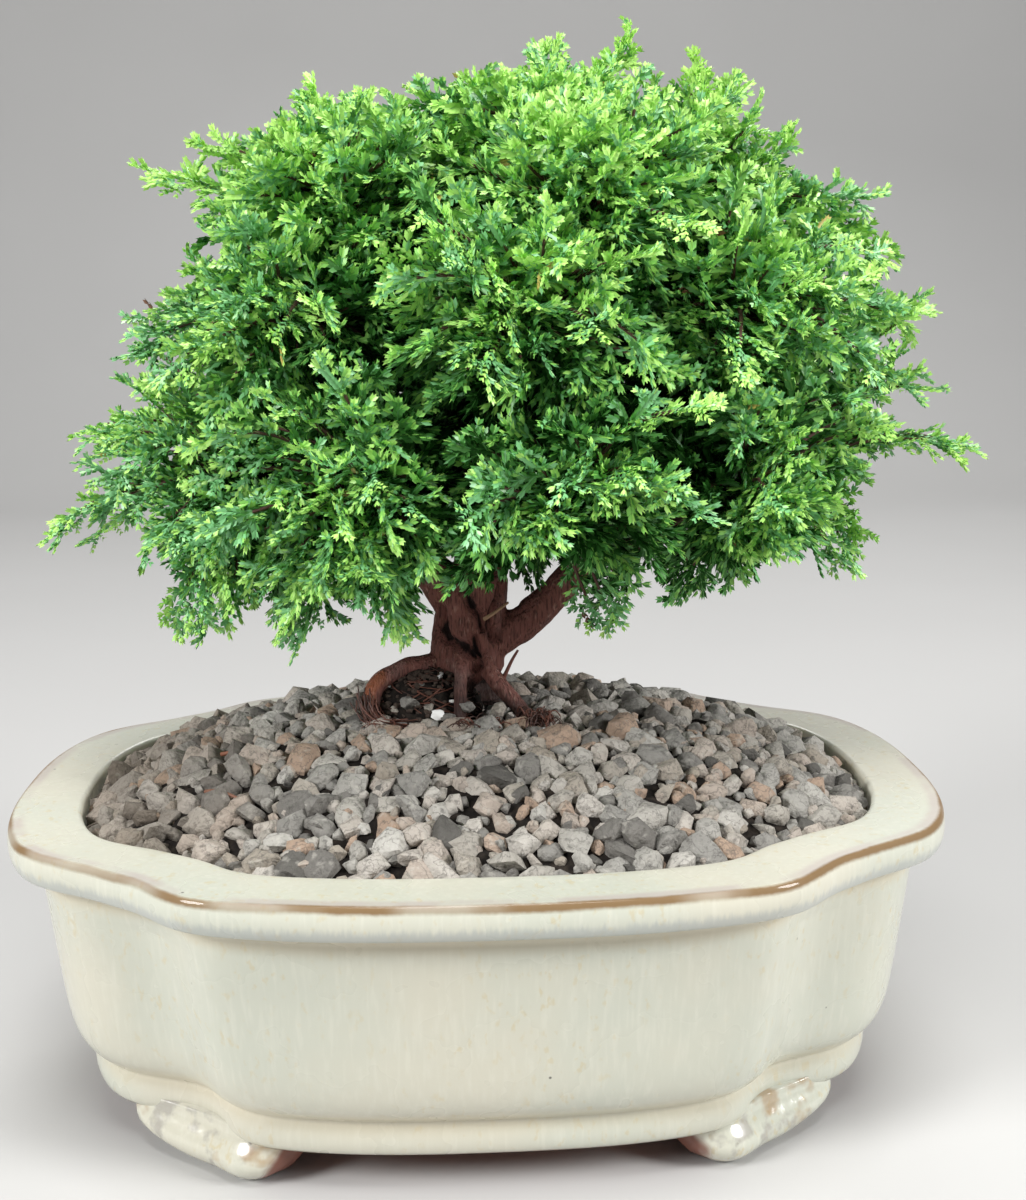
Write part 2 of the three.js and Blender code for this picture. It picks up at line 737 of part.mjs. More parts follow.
// A spray that ends at a tip with its face turned outwards
function aimSpray(mass, tip, random) {
  const away = tip.clone().sub(mass.centre).normalize();
  const direction = away.clone().add(leanAt(tip)).normalize();
  const face = away.clone().addScaledVector(direction, -away.dot(direction));
  if (face.lengthSq() < FACE_LEAST) {
    face.set(Math.cos(tip.x), Math.sin(tip.x), 0);
  }
  const side = direction.clone().cross(face).normalize();
  side.applyAxisAngle(direction, SPRAY_ROLL * (2 * random() - 1));
  const length = SPRAY_LENGTH * (1 + SPRAY_LENGTH_SPREAD * (random() - 0.5));
  const root = tip.clone().addScaledVector(direction, -length);
  const spray = { root, direction, side, length };
  return Object.assign(spray, sprayPoints(spray, random));
}

// The place inside the core that a spray's twig starts from
function twigHeel(mass, spray) {
  const inward = spray.root.clone().sub(mass.centre);
  const distance = inward.length();
  inward.normalize();
  const depth = Math.min(distance, coreRadius(mass, inward) - SPRAY_SUNK);
  return mass.centre.clone().addScaledVector(inward, Math.max(0, depth));
}

function keepsItsSpace(mass, spray, limbPoints) {
  const edges = edgeSamples(spray);
  return edges.every((point) => insideCell(mass, point)) && clearOfLimbs(edges, limbPoints);
}

// Where a spray in one direction of the mass ends: short of the envelope and of the cell's walls
function tipInDirection(mass, direction, random) {
  const byCrown = crownDistance(mass.centre, direction) * (1 - TIP_SHORTFALL * (1 - random()));
  const reach = Math.min(byCrown, TIP_WALL_SHARE * wallDistance(mass, direction));
  return mass.centre.clone().addScaledVector(direction, reach);
}

function buildMass(mass, number, limbPoints, thickLimbs) {
  const random = seeded(MASS_SEED + number);
  const core = clearOf(coreShape(mass), thickLimbs);
  const stem = clearOf(limbShape(massStem(mass), MASS_STEM_SIDES, 2), thickLimbs);
  const tips = mass.tips.slice();
  for (let i = 0; i < SPRAY_DIRECTIONS; i++) {
    tips.push(tipInDirection(mass, evenDirection(i, SPRAY_DIRECTIONS), random));
  }
  const solids = [core, stem];
  const kept = [];
  for (const tip of tips) {
    const crowded = kept.some((other) => other.distanceTo(tip) < SPRAY_SPACING);
    const spray = aimSpray(mass, tip, random);
    if (!crowded && keepsItsSpace(mass, spray, limbPoints)) {
      kept.push(tip);
      solids.push(sprayShape(spray));
      const heel = twigHeel(mass, spray);
      if (heel.distanceTo(spray.root) > 0) {
        solids.push(twigShape(heel, spray.palm));
      }
    }
  }
  const whole = wholePiece(wasm.Manifold.union(solids));
  return toMesh(`foliage_${mass.name}`, whole, MATERIALS.foliage);
}

// The stem of a mass goes on from its bough's tip to the middle of the core
function massStem(mass) {
  const start = mass.bough.curve.getPointAt(1);
  return smoothLimb([start, mass.centre], [BOUGH_TIP_RADIUS, BOUGH_TIP_RADIUS * MASS_STEM_TAPER]);
}

// A solid cut back from the thickened limbs, so that the gap stays open all round them
function clearOf(solid, thickLimbs) {
  return wholePiece(thickLimbs.reduce((cut, thick) => cut.subtract(thick), solid));
}

function shareTips(masses) {
  for (const mass of masses) {
    mass.tips = [];
  }
  for (const tip of REACHING_TIPS.map(fromRim)) {
    const nearest = masses.reduce((best, mass) =>
      mass.centre.distanceTo(tip) < best.centre.distanceTo(tip) ? mass : best);
    nearest.tips.push(tip);
  }
}

function buildTree() {
  const trunk = buildTrunk();
  const thickTrunk = trunkShape(GAP);
  const meshes = [toMesh('trunk', trunk, MATERIALS.bark)];
  const stems = Object.entries(STEMS).map(([name, { route, radii }]) => {
    const stem = smoothLimb(route.map(fromRim), radii);
    const shape = clearOf(limbShape(stem, STEM_SIDES, STEM_STEPS), [thickTrunk]);
    meshes.push(toMesh(name, shape, MATERIALS.bark));
    return stem;
  });
  const thickStems = stems.map((stem) => limbShape(stem, STEM_SIDES, STEM_STEPS, GAP));
  const masses = massCentres();
  giveCells(masses);
  growBoughs(masses, stems);
  shareTips(masses);
  const thickBoughs = masses.map((mass) => limbShape(mass.bough, BOUGH_SIDES, BOUGH_STEPS, GAP));
  masses.forEach((mass, i) => {
    const nearby = [thickTrunk, ...thickStems, ...thickBoughs.slice(0, i)];
    const shape = clearOf(limbShape(mass.bough, BOUGH_SIDES, BOUGH_STEPS), nearby);
    meshes.push(toMesh(`bough_${mass.name}`, shape, MATERIALS.bark));
  });
  const limbs = [...stems, ...masses.map((mass) => mass.bough)];
  const limbPoints = limbs.flatMap(limbSamples);
  for (let i = 0; i <= TRUNK_STEPS; i++) {
    const ring = trunkRing(i / TRUNK_STEPS, 0);
    limbPoints.push({ point: middle(ring), radius: TRUNK_FOOT_RADIUS });
  }
  const thickLimbs = [thickTrunk, ...thickStems, ...thickBoughs];
  masses.forEach((mass, i) => meshes.push(buildMass(mass, i, limbPoints, thickLimbs)));
  return meshes;
}

const bonsai = new THREE.Group();
bonsai.add(buildPot(), buildGravel(), ...buildTree());

// The origin lies under the middle of the whole plant's box, on the surface it stands on
const box = new THREE.Box3().setFromObject(bonsai);
const boxCentre = box.getCenter(new THREE.Vector3());
bonsai.position.set(-boxCentre.x, -boxCentre.y, -box.min.z);

export default bonsai;
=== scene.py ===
"""A dwarf cypress bonsai in a lobed, footed, cream-glazed pot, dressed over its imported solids.

Sizes are in millimetres, from the pot's centre and the surface it stands on, until a mesh is made.
"""

import logging
import math
from dataclasses import dataclass, field
from enum import Enum
from typing import Any, Iterable, Iterator, Mapping, Sequence

import bmesh
import bpy
import numpy as np
from mathutils import Matrix, Vector, noise


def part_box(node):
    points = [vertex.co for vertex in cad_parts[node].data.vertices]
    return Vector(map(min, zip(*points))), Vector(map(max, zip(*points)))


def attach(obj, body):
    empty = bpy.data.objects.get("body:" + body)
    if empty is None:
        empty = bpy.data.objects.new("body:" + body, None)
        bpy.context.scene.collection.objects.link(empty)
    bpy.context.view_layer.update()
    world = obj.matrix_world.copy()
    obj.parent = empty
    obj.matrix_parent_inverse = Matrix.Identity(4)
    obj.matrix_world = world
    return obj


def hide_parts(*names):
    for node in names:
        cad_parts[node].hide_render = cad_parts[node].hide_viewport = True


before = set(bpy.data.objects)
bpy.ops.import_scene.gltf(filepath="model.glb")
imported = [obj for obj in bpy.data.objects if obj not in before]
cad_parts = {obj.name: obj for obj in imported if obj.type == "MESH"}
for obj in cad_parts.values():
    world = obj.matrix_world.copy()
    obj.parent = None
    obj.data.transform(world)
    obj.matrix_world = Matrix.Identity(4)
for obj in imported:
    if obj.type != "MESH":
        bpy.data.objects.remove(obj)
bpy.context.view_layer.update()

Array = np.ndarray
Material = bpy.types.Material
Colour = tuple[float, float, float, float]
Pair = tuple[float, float]
Point = tuple[float, float, float]
Route = tuple[Point, ...]
Spot = tuple[float, float, float, float]  # a place and a size
Skin = tuple[Array, Array]  # points, and triangles as rows of three point numbers

LOG = logging.getLogger("bonsai")
MM = 0.001
FULL_TURN = 2 * math.pi
GOLDEN_ANGLE = math.pi * (3 - math.sqrt(5))
CREASE_ANGLE = math.radians(44)
UP = np.array([0.0, 0.0, 1.0])
ASKEW = np.array([0.31, 0.83, 0.47])
RIM_LEVEL = 67.0
FINGER_WIDTH = 0.79
ROUTE_STEPS = 201
MOST_DENSITY = 400000.0


def pot_origin() -> Array:
    """Returns the pot's centre on the standing surface, in metres in the part's frame."""
    low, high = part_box("pot")
    return np.array([(low.x + high.x) / 2, (low.y + high.y) / 2, low.z])


ORIGIN = pot_origin()


def unit(vectors: Array) -> Array:
    """Returns the vectors scaled to length one."""
    return vectors / np.maximum(np.linalg.norm(vectors, axis=-1, keepdims=True), 1e-9)


def dot(first: Array, second: Array) -> Array:
    """Returns the dot products along the last axis, kept as a last axis of one."""
    return np.sum(first * second, axis=-1, keepdims=True)


def square_to(vectors: Array, axes: Array) -> Array:
    """Returns the unit parts of the vectors that stand square to the axes."""
    return unit(vectors - dot(vectors, axes) * axes)


def turned(vectors: Array, axes: Array, angles: Array) -> Array:
    """Returns vectors square to their axes, turned about them by angles in radians."""
    angles = angles[..., None]
    return vectors * np.cos(angles) + np.cross(axes, vectors) * np.sin(angles)


def lerp(low: Any, high: Any, share: Any) -> Any:
    """Returns the value that lies at a share of the way from low to high."""
    return low + (high - low) * share


def clamp(values: Any) -> Any:
    """Returns the values held between 0 and 1."""
    return np.clip(values, 0, 1)


def curve(start: Any, bend: Any, end: Any, share: Any) -> Array:
    """Returns points at shares of the curve that leaves start towards bend and comes from there to end."""
    return start * (1 - share) ** 2 + bend * 2 * share * (1 - share) + end * share ** 2


def round_angles(sides: int) -> Array:
    """Returns even angles round a full turn."""
    return np.arange(sides) * 2 * math.pi / sides


def run_along(points: Array) -> Array:
    """Returns the distance run along a line at each of its points."""
    return np.concatenate([[0.0], np.cumsum(np.linalg.norm(np.diff(points, axis=0), axis=1))])


def lumps(points: Array, size: float) -> Array:
    """Returns a smooth noise at points, with features of about a size."""
    return np.array([noise.noise(Vector(point / size)) for point in points])


def linked(name: str, data: Any) -> bpy.types.Object:
    """Returns a new object of the scene that holds a mesh, a light or a camera."""
    made = bpy.data.objects.new(name, data)
    bpy.context.scene.collection.objects.link(made)
    return made


def store(mesh: bpy.types.Mesh, attributes: Mapping[str, Array]) -> None:
    """Keeps numbers for each corner point of a mesh, by name."""
    for key, values in attributes.items():
        layer = mesh.attributes.new(key, "FLOAT", "POINT")
        layer.data.foreach_set("value", values.astype(np.float32).ravel())


def mesh_piece(name: str, skin: Skin, material: Material,
               attributes: Mapping[str, Array] | None = None) -> bpy.types.Object:
    """Makes a smooth-shaded object.

    Args:
        name: The piece's name.
        skin: Its points, in millimetres from the pot's centre, and its triangles.
        material: The material of the whole piece.
        attributes: Numbers for each corner point, by name.

    Returns:
        The new object, linked to the scene.
    """
    points, triangles = skin
    mesh = bpy.data.meshes.new(name)
    mesh.vertices.add(len(points))
    mesh.vertices.foreach_set("co", (points * MM + ORIGIN).astype(np.float32).ravel())
    mesh.loops.add(triangles.size)
    mesh.loops.foreach_set("vertex_index", triangles.astype(np.int32).ravel())
    mesh.polygons.add(len(triangles))
    mesh.polygons.foreach_set("loop_start", np.arange(0, triangles.size, 3, dtype=np.int32))
    store(mesh, attributes or {})
    mesh.update(calc_edges=True)
    mesh.shade_smooth()
    mesh.materials.append(material)
    return linked(name, mesh)


def settle(piece: bpy.types.Object, nodes: Iterable[str] = ()) -> None:
    """Lets a piece ride on the plant, hides the solids that it stands for and logs its faces."""
    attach(piece, "root")
    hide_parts(*nodes)
    LOG.info("%s: %d faces", piece.name, len(piece.data.polygons))


def strips(levels: int, sides: int) -> Array:
    """Returns the triangles between the rings of a tube, whose points are counted ring by ring."""
    level, side = np.meshgrid(np.arange(levels - 1), np.arange(sides), indexing="ij")
    a = (level * sides + side).ravel()
    b = (level * sides + (side + 1) % sides).ravel()
    return np.concatenate([np.stack([a, b, b + sides], 1), np.stack([a, b + sides, a + sides], 1)])


def loft(rings: Array) -> Skin:
    """Skins a row of rings and closes its ends with fans.

    Args:
        rings: Ring points, as levels by sides by three.

    Returns:
        The points, the middles of the first and last ring at their end, and the triangles.
    """
    levels, sides = rings.shape[:2]
    count = levels * sides
    side = np.arange(sides)
    following = (side + 1) % sides
    last = count - sides
    first_fan = np.stack([np.full(sides, count), following, side], 1)
    last_fan = np.stack([np.full(sides, count + 1), last + side, last + following], 1)
    points = np.concatenate([rings.reshape(-1, 3), rings[0].mean(0)[None], rings[-1].mean(0)[None]])
    return points, np.concatenate([strips(levels, sides), first_fan, last_fan])


def joined(skins: Sequence[Skin]) -> Skin:
    """Returns several skins as one."""
    starts = np.cumsum([0] + [len(points) for points, _ in skins[:-1]])
    triangles = [faces + start for (_, faces), start in zip(skins, starts)]
    return np.concatenate([points for points, _ in skins]), np.concatenate(triangles)


def sweep(paths: Array, across: Array, radii: Array, sides: int = 4) -> Skin:
    """Makes a thin open tube along each of many short paths.

    Args:
        paths: Path points, as tubes by steps by three.
        across: Vectors that stand roughly square to the paths, of the same shape.
        radii: Radii, as tubes by steps.
        sides: Sides of a tube.

    Returns:
        The points and the triangles of all the tubes.
    """
    tubes, steps = paths.shape[:2]
    along = unit(np.gradient(paths, axis=1))
    first = square_to(across, along)
    second = np.cross(along, first)
    angle = round_angles(sides)[:, None]
    ring = first[:, :, None] * np.cos(angle) + second[:, :, None] * np.sin(angle)
    points = paths[:, :, None] + ring * radii[:, :, None, None]
    offsets = np.arange(tubes)[:, None, None] * (steps * sides)
    return points.reshape(-1, 3), (strips(steps, sides)[None] + offsets).reshape(-1, 3)


class Value:
    """A shader socket that takes part in Python arithmetic."""

    def __init__(self, shader: "Shader", socket: bpy.types.NodeSocket) -> None:
        """Wraps an output socket of a shader."""
        self.shader = shader
        self.socket = socket

    def math(self, operation: str, first: Any, second: Any) -> "Value":
        """Returns a Math node's result on two numbers or sockets."""
        return self.shader.add("ShaderNodeMath", {0: first, 1: second}, operation=operation)

    def __add__(self, other: Any) -> "Value":
        """Returns the sum."""
        return self.math("ADD", self, other)

    def __radd__(self, other: Any) -> "Value":
        """Returns the sum."""
        return self.math("ADD", other, self)

    def __sub__(self, other: Any) -> "Value":
        """Returns the difference."""
        return self.math("SUBTRACT", self, other)

    def __rsub__(self, other: Any) -> "Value":
        """Returns the difference, taken from the other."""
        return self.math("SUBTRACT", other, self)

    def __mul__(self, other: Any) -> "Value":
        """Returns the product."""
        return self.math("MULTIPLY", self, other)

    def __rmul__(self, other: Any) -> "Value":
        """Returns the product."""
        return self.math("MULTIPLY", other, self)

    def __abs__(self) -> "Value":
        """Returns the size without its sign."""
        return self.math("ABSOLUTE", self, 0.0)


class Nodes:
    """A node tree under construction."""

    def __init__(self, tree: bpy.types.NodeTree) -> None:
        """Keeps the tree."""
        self.tree = tree

    def node(self, kind: str, sockets: Mapping[Any, Any] | None = None, **settings: Any) -> bpy.types.Node:
        """Adds a node.

        Args:
            kind: The node's type.
            sockets: Values or links of its inputs, by name or number.
            settings: Its properties, which are set first.

        Returns:
            The new node.
        """
        made = self.tree.nodes.new(kind)
        for key, value in settings.items():
            setattr(made, key, value)
        for key, value in (sockets or {}).items():
            source = value.socket if isinstance(value, Value) else value
            if isinstance(source, bpy.types.NodeSocket):
                self.tree.links.new(source, made.inputs[key])
            else:
                made.inputs[key].default_value = source
        return made


class Shader(Nodes):
    """A material under construction: one principled surface, with its colour laid on coat by coat."""

    def __init__(self, name: str, colour: Any = None, **constants: Any) -> None:
        """Starts a material.

        Args:
            name: The material's name.
            colour: The first coat.
            constants: Values that hold all over the surface, by socket with _ for a space.
        """
        self.material = bpy.data.materials.new(name)
        self.material.use_nodes = True
        super().__init__(self.material.node_tree)
        self.surface = next(n for n in self.tree.nodes if n.type == "BSDF_PRINCIPLED")
        for key, value in constants.items():
            self.surface.inputs[key.replace("_", " ")].default_value = value
        self.colour = colour
        self.place: Value | None = None

    def add(self, kind: str, sockets: Mapping[Any, Any] | None = None, output: Any = 0,
            **settings: Any) -> Value:
        """Adds a node and returns one of its outputs, by name or number."""
        return Value(self, self.node(kind, sockets, **settings).outputs[output])

    def coordinates(self, stretch: Point | None = None) -> Value:
        """Returns the object's own coordinates, scaled by a stretch where one is given."""
        if self.place is None:
            self.place = self.add("ShaderNodeTexCoord", output="Object")
        if stretch is None:
            return self.place
        return self.add("ShaderNodeMapping", {"Vector": self.place, "Scale": stretch})

    def noise(self, scale: float, detail: float = 2.0, stretch: Point | None = None) -> Value:
        """Returns a noise from 0 to 1 with features of 1 / scale metres."""
        return self.add("ShaderNodeTexNoise", {
            "Vector": self.coordinates(stretch), "Scale": scale, "Detail": detail})

    def cells(self, scale: float) -> Value:
        """Returns the distance to the nearest of scattered points."""
        return self.add("ShaderNodeTexVoronoi", {"Vector": self.coordinates(), "Scale": scale})

    def attribute(self, name: str) -> Value:
        """Returns a number that the mesh holds for each corner point."""
        return self.add("ShaderNodeAttribute", None, "Fac", attribute_name=name)

    def rise(self, value: Value, low: float, high: float) -> Value:
        """Returns a smooth step from 0 at low to 1 at high."""
        return self.add("ShaderNodeMapRange", {"Value": value, "From Min": low, "From Max": high},
                        interpolation_type="SMOOTHSTEP")

    def patches(self, low: float, high: float, *noise_terms: Any) -> Value:
        """Returns patches of a noise: 0 where it is under low, 1 where it is over high."""
        return self.rise(self.noise(*noise_terms), low, high)

    def band(self, value: Value, middle: float, near: float, far: float) -> Value:
        """Returns 1 where a value is nearer to a middle than near, falling to 0 at far."""
        return 1 - self.rise(abs(value - middle), near, far)

    def mix(self, low: Any, high: Any, factor: Any) -> Value:
        """Returns a blend of two colours."""
        return self.add("ShaderNodeMix", {0: factor, 6: low, 7: high}, 2, data_type="RGBA")

    def coat(self, colour: Colour, cover: Any) -> None:
        """Lays a colour over the colour so far, as thick as its cover."""
        self.colour = self.mix(self.colour, colour, cover)

    def ramp(self, value: Value, stops: Sequence[tuple[float, Colour]]) -> Value:
        """Returns a colour read from a ramp of stops."""
        node = self.node("ShaderNodeValToRGB", {0: value})
        elements = node.color_ramp.elements
        while len(elements) < len(stops):
            elements.new(1.0)
        for element, (place, colour) in zip(elements, stops):
            element.position = place
            element.color = colour
        return Value(self, node.outputs[0])

    def feed(self, socket: str, value: Value) -> None:
        """Links a value to a socket of the surface."""
        self.tree.links.new(value.socket, self.surface.inputs[socket])

    def relief(self, height: Value, strength: float, depth_mm: float) -> None:
        """Turns a height into bumps on the surface."""
        self.feed("Normal", self.add("ShaderNodeBump", {
            "Height": height, "Strength": strength, "Distance": depth_mm * MM}))

    def finished(self, roughness: Value) -> Material:
        """Feeds the colour and a roughness to the surface and returns the material."""
        self.feed("Base Color", self.colour)
        self.feed("Roughness", roughness)
        return self.material


def rgb(red: float, green: float, blue: float) -> Colour:
    """Returns a linear colour with full cover."""
    return (red, green, blue, 1.0)


@dataclass(frozen=True)
class GlazeFinish:
    """Cream glaze that thins to ochre on the rim's edge and pools grey in the hollows, with painted shade
    in tan in the cove under the lip and the groove above the bead.

    The runs are places on the pot's profile, counted from the inner edge of its rim.
    """

    cream: Colour = rgb(0.55, 0.53, 0.435)
    grey_green: Colour = rgb(0.485, 0.505, 0.43)
    streak: Colour = rgb(0.66, 0.65, 0.56)
    fleck: Colour = rgb(0.50, 0.40, 0.20)
    ochre: Colour = rgb(0.165, 0.090, 0.026)
    halo: Colour = rgb(0.43, 0.36, 0.34)
    pool: Colour = rgb(0.33, 0.35, 0.345)
    painted_shade_tan: Colour = rgb(0.47, 0.39, 0.255)
    pinhole: Colour = rgb(0.06, 0.055, 0.05)
    base_edge: Colour = rgb(0.26, 0.16, 0.08)
    clay: Colour = rgb(0.30, 0.13, 0.085)
    foot_grey: Colour = rgb(0.30, 0.28, 0.25)
    foot_rust: Colour = rgb(0.30, 0.17, 0.06)
    foot_spot: Colour = rgb(0.10, 0.09, 0.08)
    foot_clay: Colour = rgb(0.17, 0.058, 0.034)
    halo_run: float = 11.9
    edge_run: float = 13.4
    pool_run: float = 19.0
    cove_run: float = 25.2
    groove_run: float = 68.0
    base_run: float = 76.5

    def ground(self, shader: Shader) -> None:
        """Lays on the glaze's mottled colour, as it is away from edges and hollows."""
        shader.coat(self.grey_green, shader.patches(0.38, 0.66, 22.0, 3.0) * 0.75)
        shader.coat(self.streak, shader.patches(0.45, 0.75, 1.0, 3.0, (900.0, 900.0, 70.0)) * 0.25)
        flecks = shader.patches(0.57, 0.72, 640.0, 2.0, (1.0, 1.0, 0.6))
        shader.coat(self.fleck, flecks * shader.patches(0.38, 0.58, 45.0) * 0.4)
        holes = 1 - shader.rise(shader.cells(170.0), 0.035, 0.065)
        shader.coat(self.pinhole, holes * shader.patches(0.58, 0.64, 70.0) * 0.85)

    def body(self) -> Material:
        """Returns the material of the pot's wall, lip and rim, which reads the run along the profile."""
        shader = Shader("glaze_cream", self.cream, Coat_Weight=0.35, Coat_Roughness=0.06,
                        Specular_IOR_Level=0.45)
        run, bare = shader.attribute("run"), shader.attribute("bare")
        wander = shader.noise(60.0, 3.0)
        grain = shader.noise(900.0, 2.0)
        shifted = run + (wander - 0.5) * 1.6 + (grain - 0.5) * 0.3
        self.ground(shader)
        halo = shader.band(shifted, self.halo_run, 0.5, 2.3) * shader.rise(wander, 0.38, 0.58)
        shader.coat(self.halo, halo * 0.6)
        worn = 0.6 + 0.4 * shader.patches(0.36, 0.5, 38.0)
        line = shader.band(shifted, self.edge_run, 0.4, 1.4) * worn
        shader.coat(self.ochre, line * 0.95)
        dripping = run + (shader.noise(1.0, 4.0, (1100.0, 1100.0, 160.0)) - 0.5) * 3.2
        shader.coat(self.pool, shader.band(dripping, self.pool_run, 0.4, 2.3) * 0.6)
        # Painted shade: tan bands in the cove under the lip and in the groove above the bead.
        shader.coat(self.painted_shade_tan, shader.band(shifted, self.cove_run, 0.8, 4.4) * 0.5)
        shader.coat(self.painted_shade_tan, shader.band(shifted, self.groove_run, 0.8, 5.5) * 0.38)
        base_edge = shader.rise(shifted, self.base_run - 0.4, self.base_run + 0.5)
        shader.coat(self.base_edge, base_edge * 0.75)
        shader.coat(self.clay, bare)
        shader.relief(shader.noise(210.0, 3.0) + grain * 0.12, 0.10, 0.6)
        return shader.finished(0.2 + wander * 0.16 + bare * 0.45 + line * 0.5)

    def foot(self) -> Material:
        """Returns the material of the feet: broken glaze over dark body, bare clay inside."""
        shader = Shader("glaze_foot", self.cream, Coat_Weight=0.35, Coat_Roughness=0.05)
        self.ground(shader)
        mottle = shader.patches(0.52, 0.64, 150.0, 4.0)
        shader.coat(self.foot_grey, mottle * 0.7)
        shader.coat(self.foot_rust, shader.patches(0.56, 0.68, 95.0, 3.0, (1.0, 1.0, 1.4)) * 0.6)
        spots = 1 - shader.rise(shader.cells(300.0), 0.10, 0.2)
        shader.coat(self.foot_spot, spots * mottle * 0.8)
        bare = shader.rise(shader.attribute("bare") + (shader.noise(120.0) - 0.5) * 0.5, 0.55, 0.75)
        shader.coat(self.foot_clay, bare)
        shader.relief(shader.noise(260.0, 4.0), 0.25, 0.5)
        return shader.finished(0.14 + bare * 0.4 + mottle * 0.1)


@dataclass(frozen=True)
class StoneFinish:
    """Crushed gravel: greys, warm greys and a few pinkish stones, browner and darker at the left end, the
    darkening partly painted shade.
    """

    tones: tuple[tuple[float, Colour], ...] = (
        (0.00, rgb(0.085, 0.08, 0.072)),
        (0.08, rgb(0.16, 0.15, 0.136)),
        (0.24, rgb(0.24, 0.23, 0.21)),
        (0.40, rgb(0.335, 0.32, 0.29)),
        (0.52, rgb(0.30, 0.262, 0.215)),
        (0.62, rgb(0.375, 0.36, 0.328)),
        (0.74, rgb(0.355, 0.295, 0.246)),
        (0.85, rgb(0.43, 0.413, 0.378)),
        (0.95, rgb(0.33, 0.24, 0.178)),
    )
    grain: Colour = rgb(0.09, 0.085, 0.075)
    crack: Colour = rgb(0.07, 0.065, 0.06)
    pale: Colour = rgb(0.48, 0.457, 0.406)
    left_brown_and_shade: Colour = rgb(0.13, 0.096, 0.066)

    def material(self) -> Material:
        """Returns the stones' material, which reads the tone dealt to each stone."""
        shader = Shader("stone_gravel", Specular_IOR_Level=0.25)
        shader.colour = shader.ramp(shader.attribute("tone"), self.tones)
        grain = shader.noise(800.0, 4.0)
        shader.coat(self.grain, shader.rise(grain, 0.52, 0.74) * 0.6)
        rough = shader.noise(330.0, 5.0)
        shader.coat(self.crack, shader.band(rough, 0.5, 0.0, 0.025) * 0.5)
        shader.coat(self.pale, shader.patches(0.56, 0.72, 420.0, 3.0) * 0.36)
        across = shader.add("ShaderNodeSeparateXYZ", {0: shader.coordinates()}, "X")
        # Browner stones at the left end, darkened further as painted shade.
        left = 1 - shader.rise(across + (shader.noise(60.0) - 0.5) * 0.05, -0.082, -0.045)
        shader.coat(self.left_brown_and_shade, left * 0.5)
        shader.relief(rough * 2.0 + grain * 0.8 + shader.noise(1900.0, 2.0) * 0.25, 0.7, 1.0)
        return shader.finished(0.78 + grain * 0.2)


@dataclass(frozen=True)
class SoilFinish:
    """Dark wet soil that shows between the stones, made near black as painted shade in the gaps."""

    # Near black: wet soil darkened further as painted shade between the stones.
    dark: Colour = rgb(0.008, 0.006, 0.005)
    light: Colour = rgb(0.03, 0.023, 0.018)

    def material(self) -> Material:
        """Returns the soil's material."""
        shader = Shader("soil_dark", self.dark, Specular_IOR_Level=0.2)
        crumbs = shader.noise(520.0, 5.0)
        shader.coat(self.light, shader.rise(crumbs, 0.4, 0.75))
        shader.relief(crumbs, 0.8, 0.8)
        return shader.finished(0.8 + crumbs * 0.2)


@dataclass(frozen=True)
class BarkFinish:
    """Reddish-brown fibrous bark, near black in its cracks, darker towards the ground, with painted shade
    in the trunk's folds and in the hollow between the roots.
    """

    crack: Colour = rgb(0.016, 0.007, 0.006)
    red_brown: Colour = rgb(0.235, 0.093, 0.074)
    flake: Colour = rgb(0.44, 0.25, 0.20)
    grey: Colour = rgb(0.27, 0.17, 0.155)
    damp: Colour = rgb(0.016, 0.010, 0.008)
    bare_root: Colour = rgb(0.27, 0.088, 0.042)

    def material(self) -> Material:
        """Returns the bark's material, which reads the relief with its painted fold shade, the darkening
        towards the ground with the painted shade of the hollow, and the bare places of the mesh.
        """
        shader = Shader("bark_red_brown", self.red_brown, Specular_IOR_Level=0.35)
        relief, damp, bare = (shader.attribute(name) for name in ("relief", "damp", "bare"))
        fibre = shader.noise(1.0, 4.0, (1500.0, 1500.0, 330.0))
        strands = shader.noise(1.0, 3.0, (2400.0, 2400.0, 190.0))
        broad = shader.noise(130.0, 3.0)
        shader.coat(self.flake, shader.rise(fibre + (relief - 1) * 0.35, 0.52, 0.8))
        shader.coat(self.grey, shader.rise(broad, 0.52, 0.72) * 0.55)
        # Painted shade: the relief carries the trunk's folds, which darken to the crack colour.
        shader.colour = shader.mix(self.crack, shader.colour, shader.rise(relief + fibre * 0.3, 0.2, 0.56))
        shader.coat(self.crack, shader.rise(strands, 0.5, 0.66) * 0.6)
        # Darker towards the ground, and painted shade in the hollow between the roots.
        shader.coat(self.damp, shader.rise(damp + (broad - 0.5) * 0.6, 0.22, 0.7) * 0.88)
        # Bare wood on the arched root, partly a painted highlight on its lit outer bend.
        shader.coat(self.bare_root, shader.rise(bare + (fibre - 0.5) * 0.7, 0.4, 0.8))
        shader.relief(fibre - strands * 0.8 + broad * 0.6, 1.0, 0.9)
        return shader.finished(0.78 - bare * 0.5 - damp * 0.25 + fibre * 0.1)


class Shade(Enum):
    """Plain colours dealt out among the leaf scales, from the inside of the crown to its tips; the dark
    ones are partly painted shade deep in the crown, the light ones partly painted light at its outside.
    """

    # INNER is painted shade deep in the crown; DEEP is partly older inner growth, partly painted shade.
    INNER = rgb(0.020, 0.088, 0.014)
    DEEP = rgb(0.092, 0.300, 0.062)
    BLUE = rgb(0.185, 0.470, 0.190)
    MID = rgb(0.250, 0.570, 0.115)
    MINT = rgb(0.420, 0.745, 0.345)
    FRESH = rgb(0.390, 0.715, 0.150)
    BRIGHT = rgb(0.475, 0.805, 0.210)
    LIME = rgb(0.510, 0.815, 0.195)
    STRAW = rgb(0.42, 0.34, 0.09)
    DEAD = rgb(0.13, 0.055, 0.027)


@dataclass(frozen=True)
class PlainFinish:
    """A plain colour for small repeated things."""

    name: str
    colour: Colour
    roughness: float
    gloss: float = 0.5

    def material(self) -> Material:
        """Returns the material."""
        return Shader(self.name, Base_Color=self.colour, Roughness=self.roughness,
                      Specular_IOR_Level=self.gloss).material


